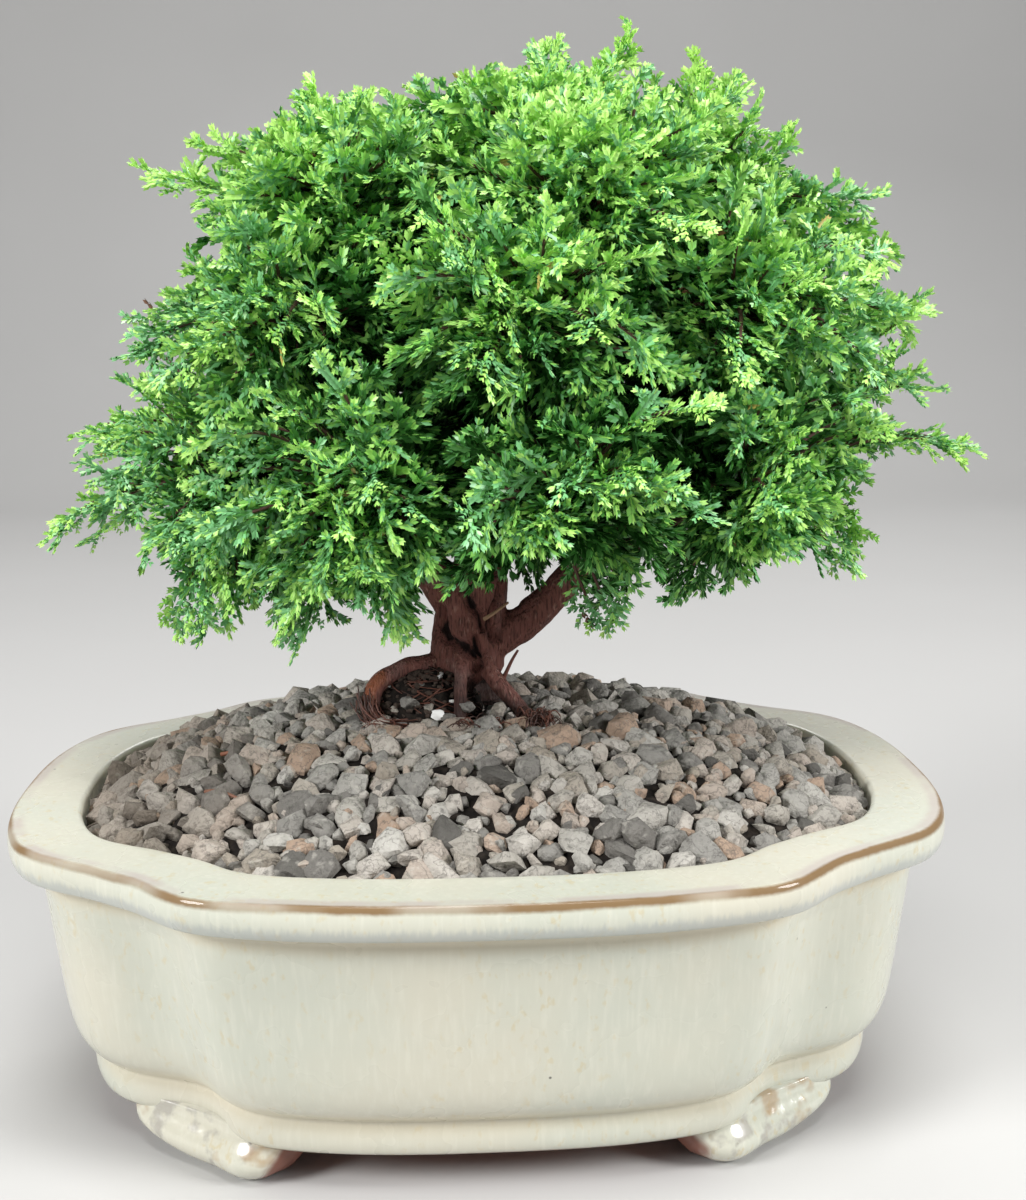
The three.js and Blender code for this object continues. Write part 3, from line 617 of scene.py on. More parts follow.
@dataclass
class Outline:
    """The pot's plan: a softened oblong with a notch in each corner, drawn in by an inset."""

    half_length: float = 100.0
    half_width: float = 75.0
    power: float = 2.6
    notch_angle: float = math.radians(37.3)
    notch_width: float = math.radians(9.8)
    notch_depth: float = 0.06
    notch_power: float = 2.7
    fold_narrowing: float = 1.6

    def points(self, angles: Array, inset: Any, deeper: float = 0.0) -> Array:
        """Returns plan points.

        Args:
            angles: Angles round the pot, in radians.
            inset: How far the outline is drawn in, one number or one for each angle.
            deeper: How much deeper the notches are than in the rim, as a share of the radius.

        Returns:
            Points of two coordinates.
        """
        cosine, sine = np.cos(angles), np.sin(angles)
        across = np.abs(cosine) / (self.half_length - inset)
        along = np.abs(sine) / (self.half_width - inset)
        plain = (across ** self.power + along ** self.power) ** (-1 / self.power)
        away = np.abs(np.arccos(clamp(np.abs(cosine))) - self.notch_angle) / self.notch_width
        notch = self.notch_depth * np.exp(-away ** self.notch_power)
        radius = plain * (1 - notch - deeper * np.exp(-(away * self.fold_narrowing) ** 2))
        return np.stack([radius * cosine, radius * sine], -1)


@dataclass
class Pot:
    """The footed pot with its rolled lip, tapering wall and base bead."""

    outline: Outline = field(default_factory=Outline)
    height: float = RIM_LEVEL
    foot_height: float = 9.0
    lip_height: float = 7.0
    lip_bulge: float = 1.2
    lip_steps: int = 18
    cove_drop: float = 10.0
    cove_inset: float = 4.8
    cove_power: float = 2.2
    cove_start: float = 0.12
    cove_steps: int = 9
    wall_taper: float = 4.6
    wall_turn: float = 5.4
    wall_turn_power: float = 12.0
    wall_steps: int = 74
    wall_start: float = 0.6
    wall_end: float = 0.15
    wall_fold: float = 0.026
    fold_fade: float = 8.0
    fold_reach: float = 4.0
    groove_drop: float = 51.0
    bead_bulge: float = 1.6
    bead_steepness: float = 5.0
    blend: float = 1.1
    under_insets: Pair = (1.5, 9.0)
    rim_width: float = 12.5
    rim_start: float = 0.4
    rim_steps: int = 8
    rim_edge: float = 1.2
    rim_edge_steps: int = 6
    inner_wall_inset: float = 14.0
    inner_wall_drop: float = 30.0
    sides: int = 480
    foot_angles: Pair = (math.radians(42.5), math.radians(39))
    foot_spreads: Pair = (math.radians(8), math.radians(17))
    foot_depths: Pair = (12.0, 18.0)
    foot_insets: Pair = (-1.2, -1.0)
    foot_swell: float = 2.4
    foot_swell_rise: float = 1.25
    foot_sunk: float = 3.0
    foot_softening: float = 0.16
    foot_soft_rise: float = 3.2
    foot_glazed_to: float = 0.55
    foot_levels: int = 14
    foot_sides: int = 21

    @property
    def groove_inset(self) -> float:
        """The inset of the groove above the bead."""
        return self.cove_inset + self.wall_taper + self.wall_turn

    def lip(self) -> Array:
        """Returns the half round of the lip, as insets and drops below the rim."""
        turn = np.linspace(0, math.pi, self.lip_steps + 1)
        return np.stack([-self.lip_bulge * np.sin(turn), self.lip_height * (1 - np.cos(turn)) / 2], 1)

    def side(self, base_drop: float) -> Array:
        """Returns the wall and the bead under it, blended in the groove, as insets and drops."""
        drops = np.linspace(self.cove_drop + self.wall_start, base_drop - self.wall_end, self.wall_steps)
        share = (drops - self.cove_drop) / (self.groove_drop - self.cove_drop)
        wall = self.cove_inset + self.wall_taper * share + self.wall_turn * share ** self.wall_turn_power
        across = (2 * drops - self.groove_drop - base_drop) / (base_drop - self.groove_drop)
        round_off = np.sqrt(np.maximum(0, 1 - across ** 2))
        round_off -= self.bead_steepness * np.maximum(0, np.abs(across) - 1)
        bead = self.groove_inset - self.bead_bulge * round_off
        nearer = np.minimum(wall, bead)
        blend = np.exp(self.blend * (nearer - wall)) + np.exp(self.blend * (nearer - bead))
        return np.stack([nearer - np.log(blend) / self.blend, drops], 1)

    def profile(self) -> Array:
        """Returns insets and drops from the inner edge of the rim, over the lip and down to the base."""
        flat = np.linspace(self.rim_width, self.rim_start, self.rim_steps)
        rim = np.stack([flat, np.zeros_like(flat)], 1)
        bow = np.linspace(self.cove_start, 1, self.cove_steps)
        cove = np.stack([self.cove_inset * bow,
                         lerp(self.lip_height, self.cove_drop, bow ** self.cove_power)], 1)
        base_drop = self.height - self.foot_height
        under = [[self.groove_inset + inset, base_drop] for inset in self.under_insets]
        return np.concatenate([rim, self.lip(), cove, self.side(base_drop), under])

    def body(self, material: Material) -> bpy.types.Object:
        """Returns the pot without its feet."""
        outside = self.profile()
        edge = np.linspace(0, math.pi / 2, self.rim_edge_steps)[1:]
        rounded = np.stack([np.sin(edge), 1 - np.cos(edge)], 1) * self.rim_edge + [self.rim_width, 0]
        inside = np.concatenate([rounded, [[self.inner_wall_inset, self.inner_wall_drop]]])
        lines = np.concatenate([outside[::-1], inside])
        runs = np.concatenate([run_along(outside)[::-1], -np.arange(1.0, len(inside) + 1)])
        bare = np.concatenate([[1.0, 1.0], np.zeros(len(lines) - 2)])
        rings = np.empty((len(lines), self.sides, 3))
        for ring, (inset, drop) in zip(rings, lines):
            on_wall = 1.0 < inset < self.groove_inset + self.fold_reach
            fold = self.wall_fold * clamp((drop - self.lip_height) / self.fold_fade) * on_wall
            ring[:, :2] = self.outline.points(round_angles(self.sides), inset, fold)
            ring[:, 2] = self.height - drop
        numbers = {key: np.concatenate([np.repeat(values, self.sides), values[[0, -1]]])
                   for key, values in {"run": runs, "bare": bare}.items()}
        return mesh_piece("pot_body", loft(rings), material, numbers)

    def foot(self, quarter: int) -> tuple[Skin, Array]:
        """Returns one foot.

        Args:
            quarter: The quarter of the outline, from 0 to 3.

        Returns:
            Its skin and how bare each point is of glaze.
        """
        turn = np.linspace(-1, 1, self.foot_sides)
        rounding = (1 - np.sqrt(np.maximum(0.0, 1 - np.abs(turn) ** 4))) / 2
        rings = []
        for step in np.linspace(0, 1, self.foot_levels):
            middle, spread, inset, depth = (lerp(*pair, math.sin(step * math.pi / 2)) for pair in (
                self.foot_angles, self.foot_spreads, self.foot_insets, self.foot_depths))
            swell = self.foot_swell * math.sin(math.pi * min(step * self.foot_swell_rise, 1.0))
            outer = self.groove_inset + inset - swell
            soft = 1 - self.foot_softening * (1 - min(step * self.foot_soft_rise, 1.0)) ** 2
            angles = middle + spread * soft * turn
            front = self.outline.points(angles, outer + depth * ((1 - soft) / 2 + rounding))
            back = self.outline.points(angles, outer + depth * ((1 + soft) / 2 - rounding))
            ring = np.concatenate([front, back[-2:0:-1]])
            height = step * (self.foot_height + self.foot_sunk)
            rings.append(np.column_stack([ring, np.full(len(ring), height)]))
        points, triangles = loft(np.array(rings))
        worn = np.maximum(0, (turn - self.foot_glazed_to) * 2)
        side = np.concatenate([worn, np.ones(self.foot_sides - 2)])
        flip = np.array([[1, 1], [-1, 1], [-1, -1], [1, -1]])[quarter]
        points[:, :2] *= flip
        if flip[0] * flip[1] < 0:
            triangles = triangles[:, ::-1]
        return (points, triangles), np.concatenate([np.tile(side, self.foot_levels), [1.0, 1.0]])

    def build(self, finish: GlazeFinish) -> None:
        """Builds the pot and its feet."""
        settle(self.body(finish.body()), ["pot"])
        feet = [self.foot(quarter) for quarter in range(4)]
        bare = np.concatenate([weights for _, weights in feet])
        feet_skin = joined([skin for skin, _ in feet])
        settle(mesh_piece("pot_feet", feet_skin, finish.foot(), {"bare": bare}))


@dataclass
class StoneShapes:
    """A few angular stones that the gravel is made of."""

    count: int = 18
    corners: int = 23
    seed: int = 5
    reach: Pair = (0.82, 1.0)
    blockiness: float = 0.78
    stretches: tuple[Pair, Pair, Pair] = ((0.95, 1.35), (0.72, 0.98), (0.52, 0.82))

    def shape(self, rng: np.random.Generator) -> Skin:
        """Returns one stone of about unit radius."""
        points = unit(rng.normal(size=(self.corners, 3))) * rng.uniform(*self.reach, (self.corners, 1))
        points = np.sign(points) * np.abs(points) ** self.blockiness
        points *= np.array([rng.uniform(*stretch) for stretch in self.stretches])
        work = bmesh.new()
        for point in points:
            work.verts.new(point)
        hull = bmesh.ops.convex_hull(work, input=work.verts)
        inner = [part for part in hull["geom_interior"] if isinstance(part, bmesh.types.BMVert)]
        bmesh.ops.delete(work, geom=inner, context="VERTS")
        bmesh.ops.triangulate(work, faces=work.faces)
        bmesh.ops.recalc_face_normals(work, faces=work.faces)
        work.verts.index_update()
        corners = np.array([v.co for v in work.verts])
        triangles = np.array([[v.index for v in f.verts] for f in work.faces])
        work.free()
        return corners, triangles

    def all(self) -> list[Skin]:
        """Returns all the stones."""
        rng = np.random.default_rng(self.seed)
        return [self.shape(rng) for _ in range(self.count)]

    def collection(self) -> bpy.types.Collection:
        """Returns the stones as objects of a collection outside the scene, one millimetre in radius."""
        group = bpy.data.collections.new("stone_shapes")
        for i, (points, triangles) in enumerate(self.all()):
            mesh = bpy.data.meshes.new(f"stone_shape_{i}")
            mesh.from_pydata((points * MM).tolist(), [], triangles.tolist())
            group.objects.link(bpy.data.objects.new(mesh.name, mesh))
        return group


@dataclass(frozen=True)
class StoneLayer:
    """One layer of scattered stones: least and most radius, least way apart and most tilt."""

    name: str
    spacing: float
    sizes: Pair
    tilt: float
    seed: int


class StoneScatter(Nodes):
    """A Geometry Nodes tree that packs stones over a surface."""

    def __init__(self) -> None:
        """Builds the tree with its named inputs."""
        super().__init__(bpy.data.node_groups.new("stone_scatter", "GeometryNodeTree"))
        kinds = {"Surface": "Geometry", "Spacing": "Float", "Least size": "Float", "Most size": "Float",
                 "Tilt": "Float", "Seed": "Int", "Shapes": "Collection", "Finish": "Material"}
        self.inputs = {name: self.socket(name, "INPUT", kind) for name, kind in kinds.items()}
        self.socket("Stones", "OUTPUT", "Geometry")
        self.wire()

    def socket(self, name: str, side: str, kind: str) -> str:
        """Adds a socket to the tree and returns the key it is set by."""
        socket_type = f"NodeSocket{kind}"
        return self.tree.interface.new_socket(name=name, in_out=side, socket_type=socket_type).identifier

    def wire(self) -> None:
        """Adds and links the nodes."""
        given = self.node("NodeGroupInput").outputs
        tilt = given["Tilt"]
        spread = self.node("GeometryNodeDistributePointsOnFaces", {
            "Mesh": given["Surface"], "Distance Min": given["Spacing"], "Density Max": MOST_DENSITY,
            "Seed": given["Seed"]}, distribute_method="POISSON")
        shapes = self.node("GeometryNodeCollectionInfo", {
            "Collection": given["Shapes"], "Separate Children": True, "Reset Children": True})
        down = self.node("ShaderNodeMath", {0: tilt, 1: -1.0}, operation="MULTIPLY").outputs[0]
        low = self.node("ShaderNodeCombineXYZ", {0: down, 1: down})
        high = self.node("ShaderNodeCombineXYZ", {0: tilt, 1: tilt, 2: FULL_TURN})
        turn = self.node("FunctionNodeRandomValue", {
            0: low.outputs[0], 1: high.outputs[0], "Seed": 3}, data_type="FLOAT_VECTOR")
        size = self.node("FunctionNodeRandomValue", {
            2: given["Least size"], 3: given["Most size"], "Seed": 4}, data_type="FLOAT")
        placed = self.node("GeometryNodeInstanceOnPoints", {
            "Points": spread.outputs["Points"], "Instance": shapes.outputs[0], "Pick Instance": True,
            "Rotation": turn.outputs[0], "Scale": size.outputs[1]})
        tone = self.node("FunctionNodeRandomValue", {"Seed": 8}, data_type="FLOAT")
        toned = self.node("GeometryNodeStoreNamedAttribute", {
            "Geometry": placed.outputs[0], "Name": "tone", "Value": tone.outputs[1]},
            data_type="FLOAT", domain="INSTANCE")
        real = self.node("GeometryNodeRealizeInstances", {0: toned.outputs[0]})
        dressed = self.node("GeometryNodeSetMaterial", {
            "Geometry": real.outputs[0], "Material": given["Finish"]})
        self.node("NodeGroupOutput", {0: dressed.outputs[0]})

    def over(self, surface: bpy.types.Object, layer: StoneLayer, shapes: bpy.types.Collection,
             finish: Material) -> bpy.types.Object:
        """Scatters a layer of stones over a surface.

        Args:
            surface: The object that carries the stones, which stays as it is.
            layer: What the layer is like.
            shapes: The stones to pick from.
            finish: Their material.

        Returns:
            The stones as a plain mesh.
        """
        values = {"Spacing": layer.spacing * MM, "Least size": layer.sizes[0], "Most size": layer.sizes[1],
                  "Tilt": layer.tilt, "Seed": layer.seed, "Shapes": shapes, "Finish": finish}
        modifier = surface.modifiers.new("stones", "NODES")
        modifier.node_group = self.tree
        for key, value in values.items():
            modifier[self.inputs[key]] = value
        shaped = surface.evaluated_get(bpy.context.evaluated_depsgraph_get())
        mesh = bpy.data.meshes.new_from_object(shaped)
        surface.modifiers.remove(modifier)
        mesh.name = layer.name
        return linked(layer.name, mesh)


@dataclass
class GravelBed:
    """The mound of gravel: dark soil with stones packed over it."""

    outline: Outline = field(default_factory=Outline)
    edge_inset: float = 14.3
    edge_drop: float = 3.0
    crest: float = 13.0
    crest_y: float = 5.0
    mound_power: float = 1.7
    landing_share: float = 0.42
    landing_close: float = 4.8
    slope_share: float = 0.8
    hem_share: float = 0.97
    hem_depth: float = 30.0
    sunk: float = 0.9
    lump_size: float = 4.0
    lump_height: float = 0.8
    sides: int = 200
    rings: int = 44
    height_steps: int = 60
    stone_depth: float = 4.0
    stone_play: float = 0.2
    layers: tuple[StoneLayer, ...] = (
        StoneLayer("gravel_stones", 4.8, (2.7, 5.2), 0.8, 2),
        StoneLayer("gravel_chips", 3.0, (1.5, 2.8), 1.2, 9),
    )

    def level(self, share: Any) -> Any:
        """Returns the height of the mound at shares of the way from its edge to the landing."""
        rise = 1 - (1 - clamp(share)) ** self.mound_power
        return RIM_LEVEL + lerp(-self.edge_drop, self.crest, rise)

    def surface_height(self, points: Array) -> Array:
        """Returns the mound's height under plan points."""
        best = np.zeros(len(points))
        for share in np.linspace(0, 1, self.height_steps):
            local = (points[:, :2] - [0, self.crest_y * share]) / lerp(1.0, self.landing_share, share)
            angles = np.arctan2(local[:, 1], local[:, 0])
            reach = np.linalg.norm(self.outline.points(angles, self.edge_inset), axis=1)
            best = np.where(np.linalg.norm(local, axis=1) <= reach, share, best)
        return self.level(best)

    def soil(self, material: Material) -> bpy.types.Object:
        """Returns the soil surface, closed below inside the pot."""
        edge = self.outline.points(round_angles(self.sides), self.edge_inset)
        rings = [np.column_stack([edge * self.hem_share, np.full(self.sides, RIM_LEVEL - self.hem_depth)])]
        for step in np.linspace(0, 1, self.rings):
            share = min(step * (1 / self.slope_share), 1.0)
            closing = 1 - max(0.0, step - self.slope_share) * self.landing_close
            shrink = lerp(1.0, self.landing_share, share) * closing
            ring = edge * shrink + [0, self.crest_y * share]
            rings.append(np.column_stack([ring, np.full(self.sides, self.level(share) - self.sunk)]))
        solid = np.array(rings)
        crumbly = solid[1:].reshape(-1, 3)
        crumbly[:, 2] += self.lump_height * lumps(crumbly, self.lump_size)
        return mesh_piece("soil", loft(solid), material)

    def build(self, soil: SoilFinish, stone: StoneFinish) -> None:
        """Builds the soil and packs the stones over it."""
        ground = self.soil(soil.material())
        scatter, shapes, finish = StoneScatter(), StoneShapes().collection(), stone.material()
        stones = [scatter.over(ground, layer, shapes, finish) for layer in self.layers]
        settle(ground, ["gravel_bed"])
        for piece in stones:
            self.keep_in_pot(piece.data)
            settle(piece)

    @staticmethod
    def islands(work: bmesh.types.BMesh) -> Iterator[list[bmesh.types.BMVert]]:
        """Yields the corner points of each separate stone."""
        seen: set[int] = set()
        for vert in work.verts:
            if vert.index in seen:
                continue
            island = [vert]
            seen.add(vert.index)
            for one in island:
                for edge in one.link_edges:
                    other = edge.other_vert(one)
                    if other.index not in seen:
                        seen.add(other.index)
                        island.append(other)
            yield island

    def keep_in_pot(self, mesh: bpy.types.Mesh) -> None:
        """Draws stones at the edge in from the pot's wall and drops those below the visible mound."""
        work = bmesh.new()
        work.from_mesh(mesh)
        floor = (RIM_LEVEL - self.edge_drop - self.stone_depth) * MM + ORIGIN[2]
        drop = []
        for island in self.islands(work):
            centre = sum((v.co for v in island), Vector()) / len(island)
            if centre.z < floor:
                drop.extend(island)
                continue
            angle = math.atan2(centre.y - ORIGIN[1], centre.x - ORIGIN[0])
            reach = np.linalg.norm(self.outline.points(np.array([angle]), self.edge_inset)[0])
            most = max(np.linalg.norm((np.array(v.co) - ORIGIN)[:2] / MM) for v in island)
            shift = (most - reach - self.stone_play) * MM
            if shift > 0:
                for v in island:
                    v.co -= Vector((math.cos(angle), math.sin(angle), 0)) * shift
        bmesh.ops.delete(work, geom=drop, context="VERTS")
        work.to_mesh(mesh)
        work.free()
        mesh.shade_smooth()
        mesh.set_sharp_from_angle(angle=CREASE_ANGLE)


class Limb:
    """A tapering limb along a smooth route."""

    def __init__(self, points: Any, radii: Pair) -> None:
        """Keeps the route's points and its end radii, and measures the route."""
        self.points = np.asarray(points, float)
        self.radii = radii
        self.fine = np.linspace(0, 1, ROUTE_STEPS)
        self.run = run_along(self.raw(self.fine))

    @property
    def length(self) -> float:
        """The length along the route."""
        return float(self.run[-1])

    def raw(self, shares: Array) -> Array:
        """Returns points of the smooth curve through the route's points."""
        knots = self.points
        ends = np.concatenate([[2 * knots[0] - knots[1]], knots, [2 * knots[-1] - knots[-2]]])
        place = clamp(shares) * (len(knots) - 1)
        segment = np.minimum(place.astype(int), len(knots) - 2)
        weight = (place - segment)[:, None]
        p0, p1, p2, p3 = (ends[segment + i] for i in range(4))
        d0, d1, d2 = (np.sum((b - a) ** 2, axis=1, keepdims=True) ** 0.25
                      for a, b in ((p0, p1), (p1, p2), (p2, p3)))
        t1 = ((p1 - p0) / d0 - (p2 - p0) / (d0 + d1) + (p2 - p1) / d1) * d1
        t2 = ((p2 - p1) / d1 - (p3 - p1) / (d1 + d2) + (p3 - p2) / d2) * d1
        c2 = -3 * p1 + 3 * p2 - 2 * t1 - t2
        c3 = 2 * p1 - 2 * p2 + t1 + t2
        return p1 + t1 * weight + c2 * weight ** 2 + c3 * weight ** 3

    def at(self, shares: Any) -> Array:
        """Returns points at shares of the route's length."""
        return self.raw(np.interp(np.asarray(shares) * self.length, self.run, self.fine))

    def radius(self, shares: Any) -> Any:
        """Returns radii at shares of the length."""
        return lerp(self.radii[0], self.radii[1], shares)

    def samples(self, step: float) -> tuple[Array, Array]:
        """Returns points and radii along the limb, no further apart than a step."""
        shares = np.linspace(0, 1, math.ceil(self.length / step) + 1)
        return self.at(shares), self.radius(shares)

    def tube(self, sides: int, step: float) -> Skin:
        """Returns the limb as a closed tube."""
        points, radii = self.samples(step)
        along = unit(np.gradient(points, axis=0))
        across = np.empty_like(along)
        across[0] = square_to(ASKEW, along[0])
        for i in range(1, len(points)):
            across[i] = square_to(across[i - 1], along[i])
        second = np.cross(along, across)
        angle = round_angles(sides)[None, :, None]
        rings = points[:, None] + radii[:, None, None] * (
            across[:, None] * np.cos(angle) + second[:, None] * np.sin(angle))
        return loft(rings)


@dataclass
class Mass:
    """One mass of foliage: its name, centre and the bough that carries it."""

    name: str
    centre: Array
    bough: Limb | None = None


@dataclass
class CrownSpace:
    """The crown's envelope and the masses that share it.

    A tier is its name, its height above the rim, its number of masses, how far out they stand as a share of
    the way to the envelope, and its turn as a share of the way from one mass to the next.
    """

    centre: Array = field(default_factory=lambda: np.array([10.0, 3.0, 135.0]))
    half_length: float = 96.0
    half_depth: float = 78.0
    rise: float = 89.0
    fall: float = 40.0
    least_fall: float = 10.0
    top_power: float = 2.35
    bottom_power: float = 3.0
    front_lift: float = 0.17
    right_lift: float = 0.15
    arch_lift: float = 16.0
    arch_half_width: float = 18.0
    arch_x: float = 6.0
    core_radius: float = 30.0
    core_wall_share: float = 0.92
    core_depth: float = 18.0
    core_least: float = 6.0
    lean_below: float = -0.7
    lean_above: float = 0.3
    light_power: float = 0.43
    light_start: float = 0.52
    light_run: float = 0.42
    halvings: int = 24
    least_closing: float = 1e-6
    tiers: tuple[tuple[str, float, int, float, float], ...] = (
        ("low", 67.0, 8, 0.62, 0.12),
        ("middle", 103.0, 6, 0.58, 0.45),
        ("high", 126.0, 4, 0.52, 0.2),
        ("top", 140.0, 1, 0.0, 0.0),
    )
    masses: list[Mass] = field(default_factory=list)

    def __post_init__(self) -> None:
        """Places the masses."""
        for name, height, count, reach, turn in self.tiers:
            for i in range(count):
                angle = FULL_TURN * (i + turn) / count
                direction = np.array([[math.cos(angle), math.sin(angle), 0.0]])
                middle = np.array([[self.centre[0], self.centre[1], RIM_LEVEL + height]])
                offset = reach * self.distance(middle, direction)[0]
                self.masses.append(Mass(f"{name}_{i + 1}", (middle + offset * direction)[0]))

    def share(self, points: Array) -> Array:
        """Returns how far out points lie: 1 is on the envelope."""
        offset = points - self.centre
        above = offset[:, 2] > 0
        arched = self.arch_lift * np.exp(-(((points[:, 0] - self.arch_x) / self.arch_half_width) ** 2))
        front = np.where(offset[:, 1] < 0, -self.front_lift * offset[:, 1] + arched, 0.0)
        lift = front + self.right_lift * np.maximum(0, offset[:, 0])
        height = np.where(above, self.rise, np.maximum(self.fall - lift, self.least_fall))
        power = np.where(above, self.top_power, self.bottom_power)
        flat = np.hypot(offset[:, 0] / self.half_length, offset[:, 1] / self.half_depth)
        return flat ** power + np.abs(offset[:, 2] / height) ** power

    def distance(self, start: Array, directions: Array) -> Array:
        """Returns distances from points inside the crown to the envelope along directions."""
        near = np.zeros(len(directions))
        far = np.full(len(directions), 2 * self.half_length)
        for _ in range(self.halvings):
            half = (near + far) / 2
            inside = self.share(start + directions * half[:, None]) < 1
            near = np.where(inside, half, near)
            far = np.where(inside, far, half)
        return near

    def wall_distance(self, mass: Mass, directions: Array) -> Array:
        """Returns distances from a mass's centre to the walls of its own space."""
        nearest = np.full(len(directions), np.inf)
        for other in self.masses:
            if other is mass:
                continue
            apart = other.centre - mass.centre
            span = np.linalg.norm(apart)
            closing = directions @ (apart / span)
            reach = span / 2 / np.maximum(closing, self.least_closing)
            nearest = np.where(closing > self.least_closing, np.minimum(nearest, reach), nearest)
        return nearest

    def light(self, points: Array) -> Array:
        """Returns how near to the open air points lie, from 0 deep inside to 1 at the envelope."""
        return clamp((self.share(points) ** self.light_power - self.light_start) / self.light_run)

    def core(self, mass: Mass, direction: Array) -> float:
        """Returns how far the dense core of a mass reaches in one direction."""
        way = direction[None]
        by_wall = self.core_wall_share * self.wall_distance(mass, way)[0]
        by_crown = self.distance(mass.centre[None], way)[0] - self.core_depth
        return max(self.core_least, min(self.core_radius, by_wall, by_crown))

    def lean(self, tips: Array) -> Array:
        """Returns how sprays lean: they hang at the lower edge and stand up at the top."""
        lowest = self.centre[2] - self.fall
        share = clamp((tips[:, 2] - lowest) / (self.rise + self.fall))
        return lerp(self.lean_below, self.lean_above, share ** 2)[:, None] * UP


@dataclass(frozen=True)
class BarkRelief:
    """The ridges and cracks of the bark: a noise drawn out along the limbs.

    Pitches are features to a millimetre, across and along a limb.
    """

    pitch: Pair = (0.28, 0.12)
    bend: float = 0.7
    bend_pitch: Pair = (0.8, 1.3)
    bend_start: float = 4.0
    crack_narrowness: float = 3.6
    crack_depth: float = 0.85
    patch_size: float = 7.0
    patch_gain: float = 2.2
    patch_share: float = 0.35
    fine_pitch: float = 5.0
    fine_start: float = 9.0
    fine_depth: float = 0.2

    def heights(self, points: Array, around: Array, run: Array) -> Array:
        """Returns the bark's height over points of the skin.

        Args:
            points: The points.
            around: Where they lie round their limb, as two coordinates.
            run: Where they lie along it.

        Returns:
            About 1 on a ridge and less in a crack.
        """
        heights = np.empty(len(points))
        for i, point in enumerate(points):
            u, v = around[i] * self.pitch[0]
            w = run[i] * self.pitch[1]
            across, along = self.bend_pitch
            bend = self.bend * noise.noise(Vector((u * across, v * across, w * along + self.bend_start)))
            crack = 1 - abs(noise.noise(Vector((u + bend, v - bend, w)))) * self.crack_narrowness
            patch = noise.noise(Vector(point / self.patch_size)) * self.patch_gain + self.patch_share
            spot = (u * self.fine_pitch, v * self.fine_pitch, w * self.fine_pitch + self.fine_start)
            crack, patch = max(crack, 0.0), min(max(patch, 0.0), 1.0)
            heights[i] = 1 - self.crack_depth * crack * patch + self.fine_depth * noise.noise(Vector(spot))
        return heights


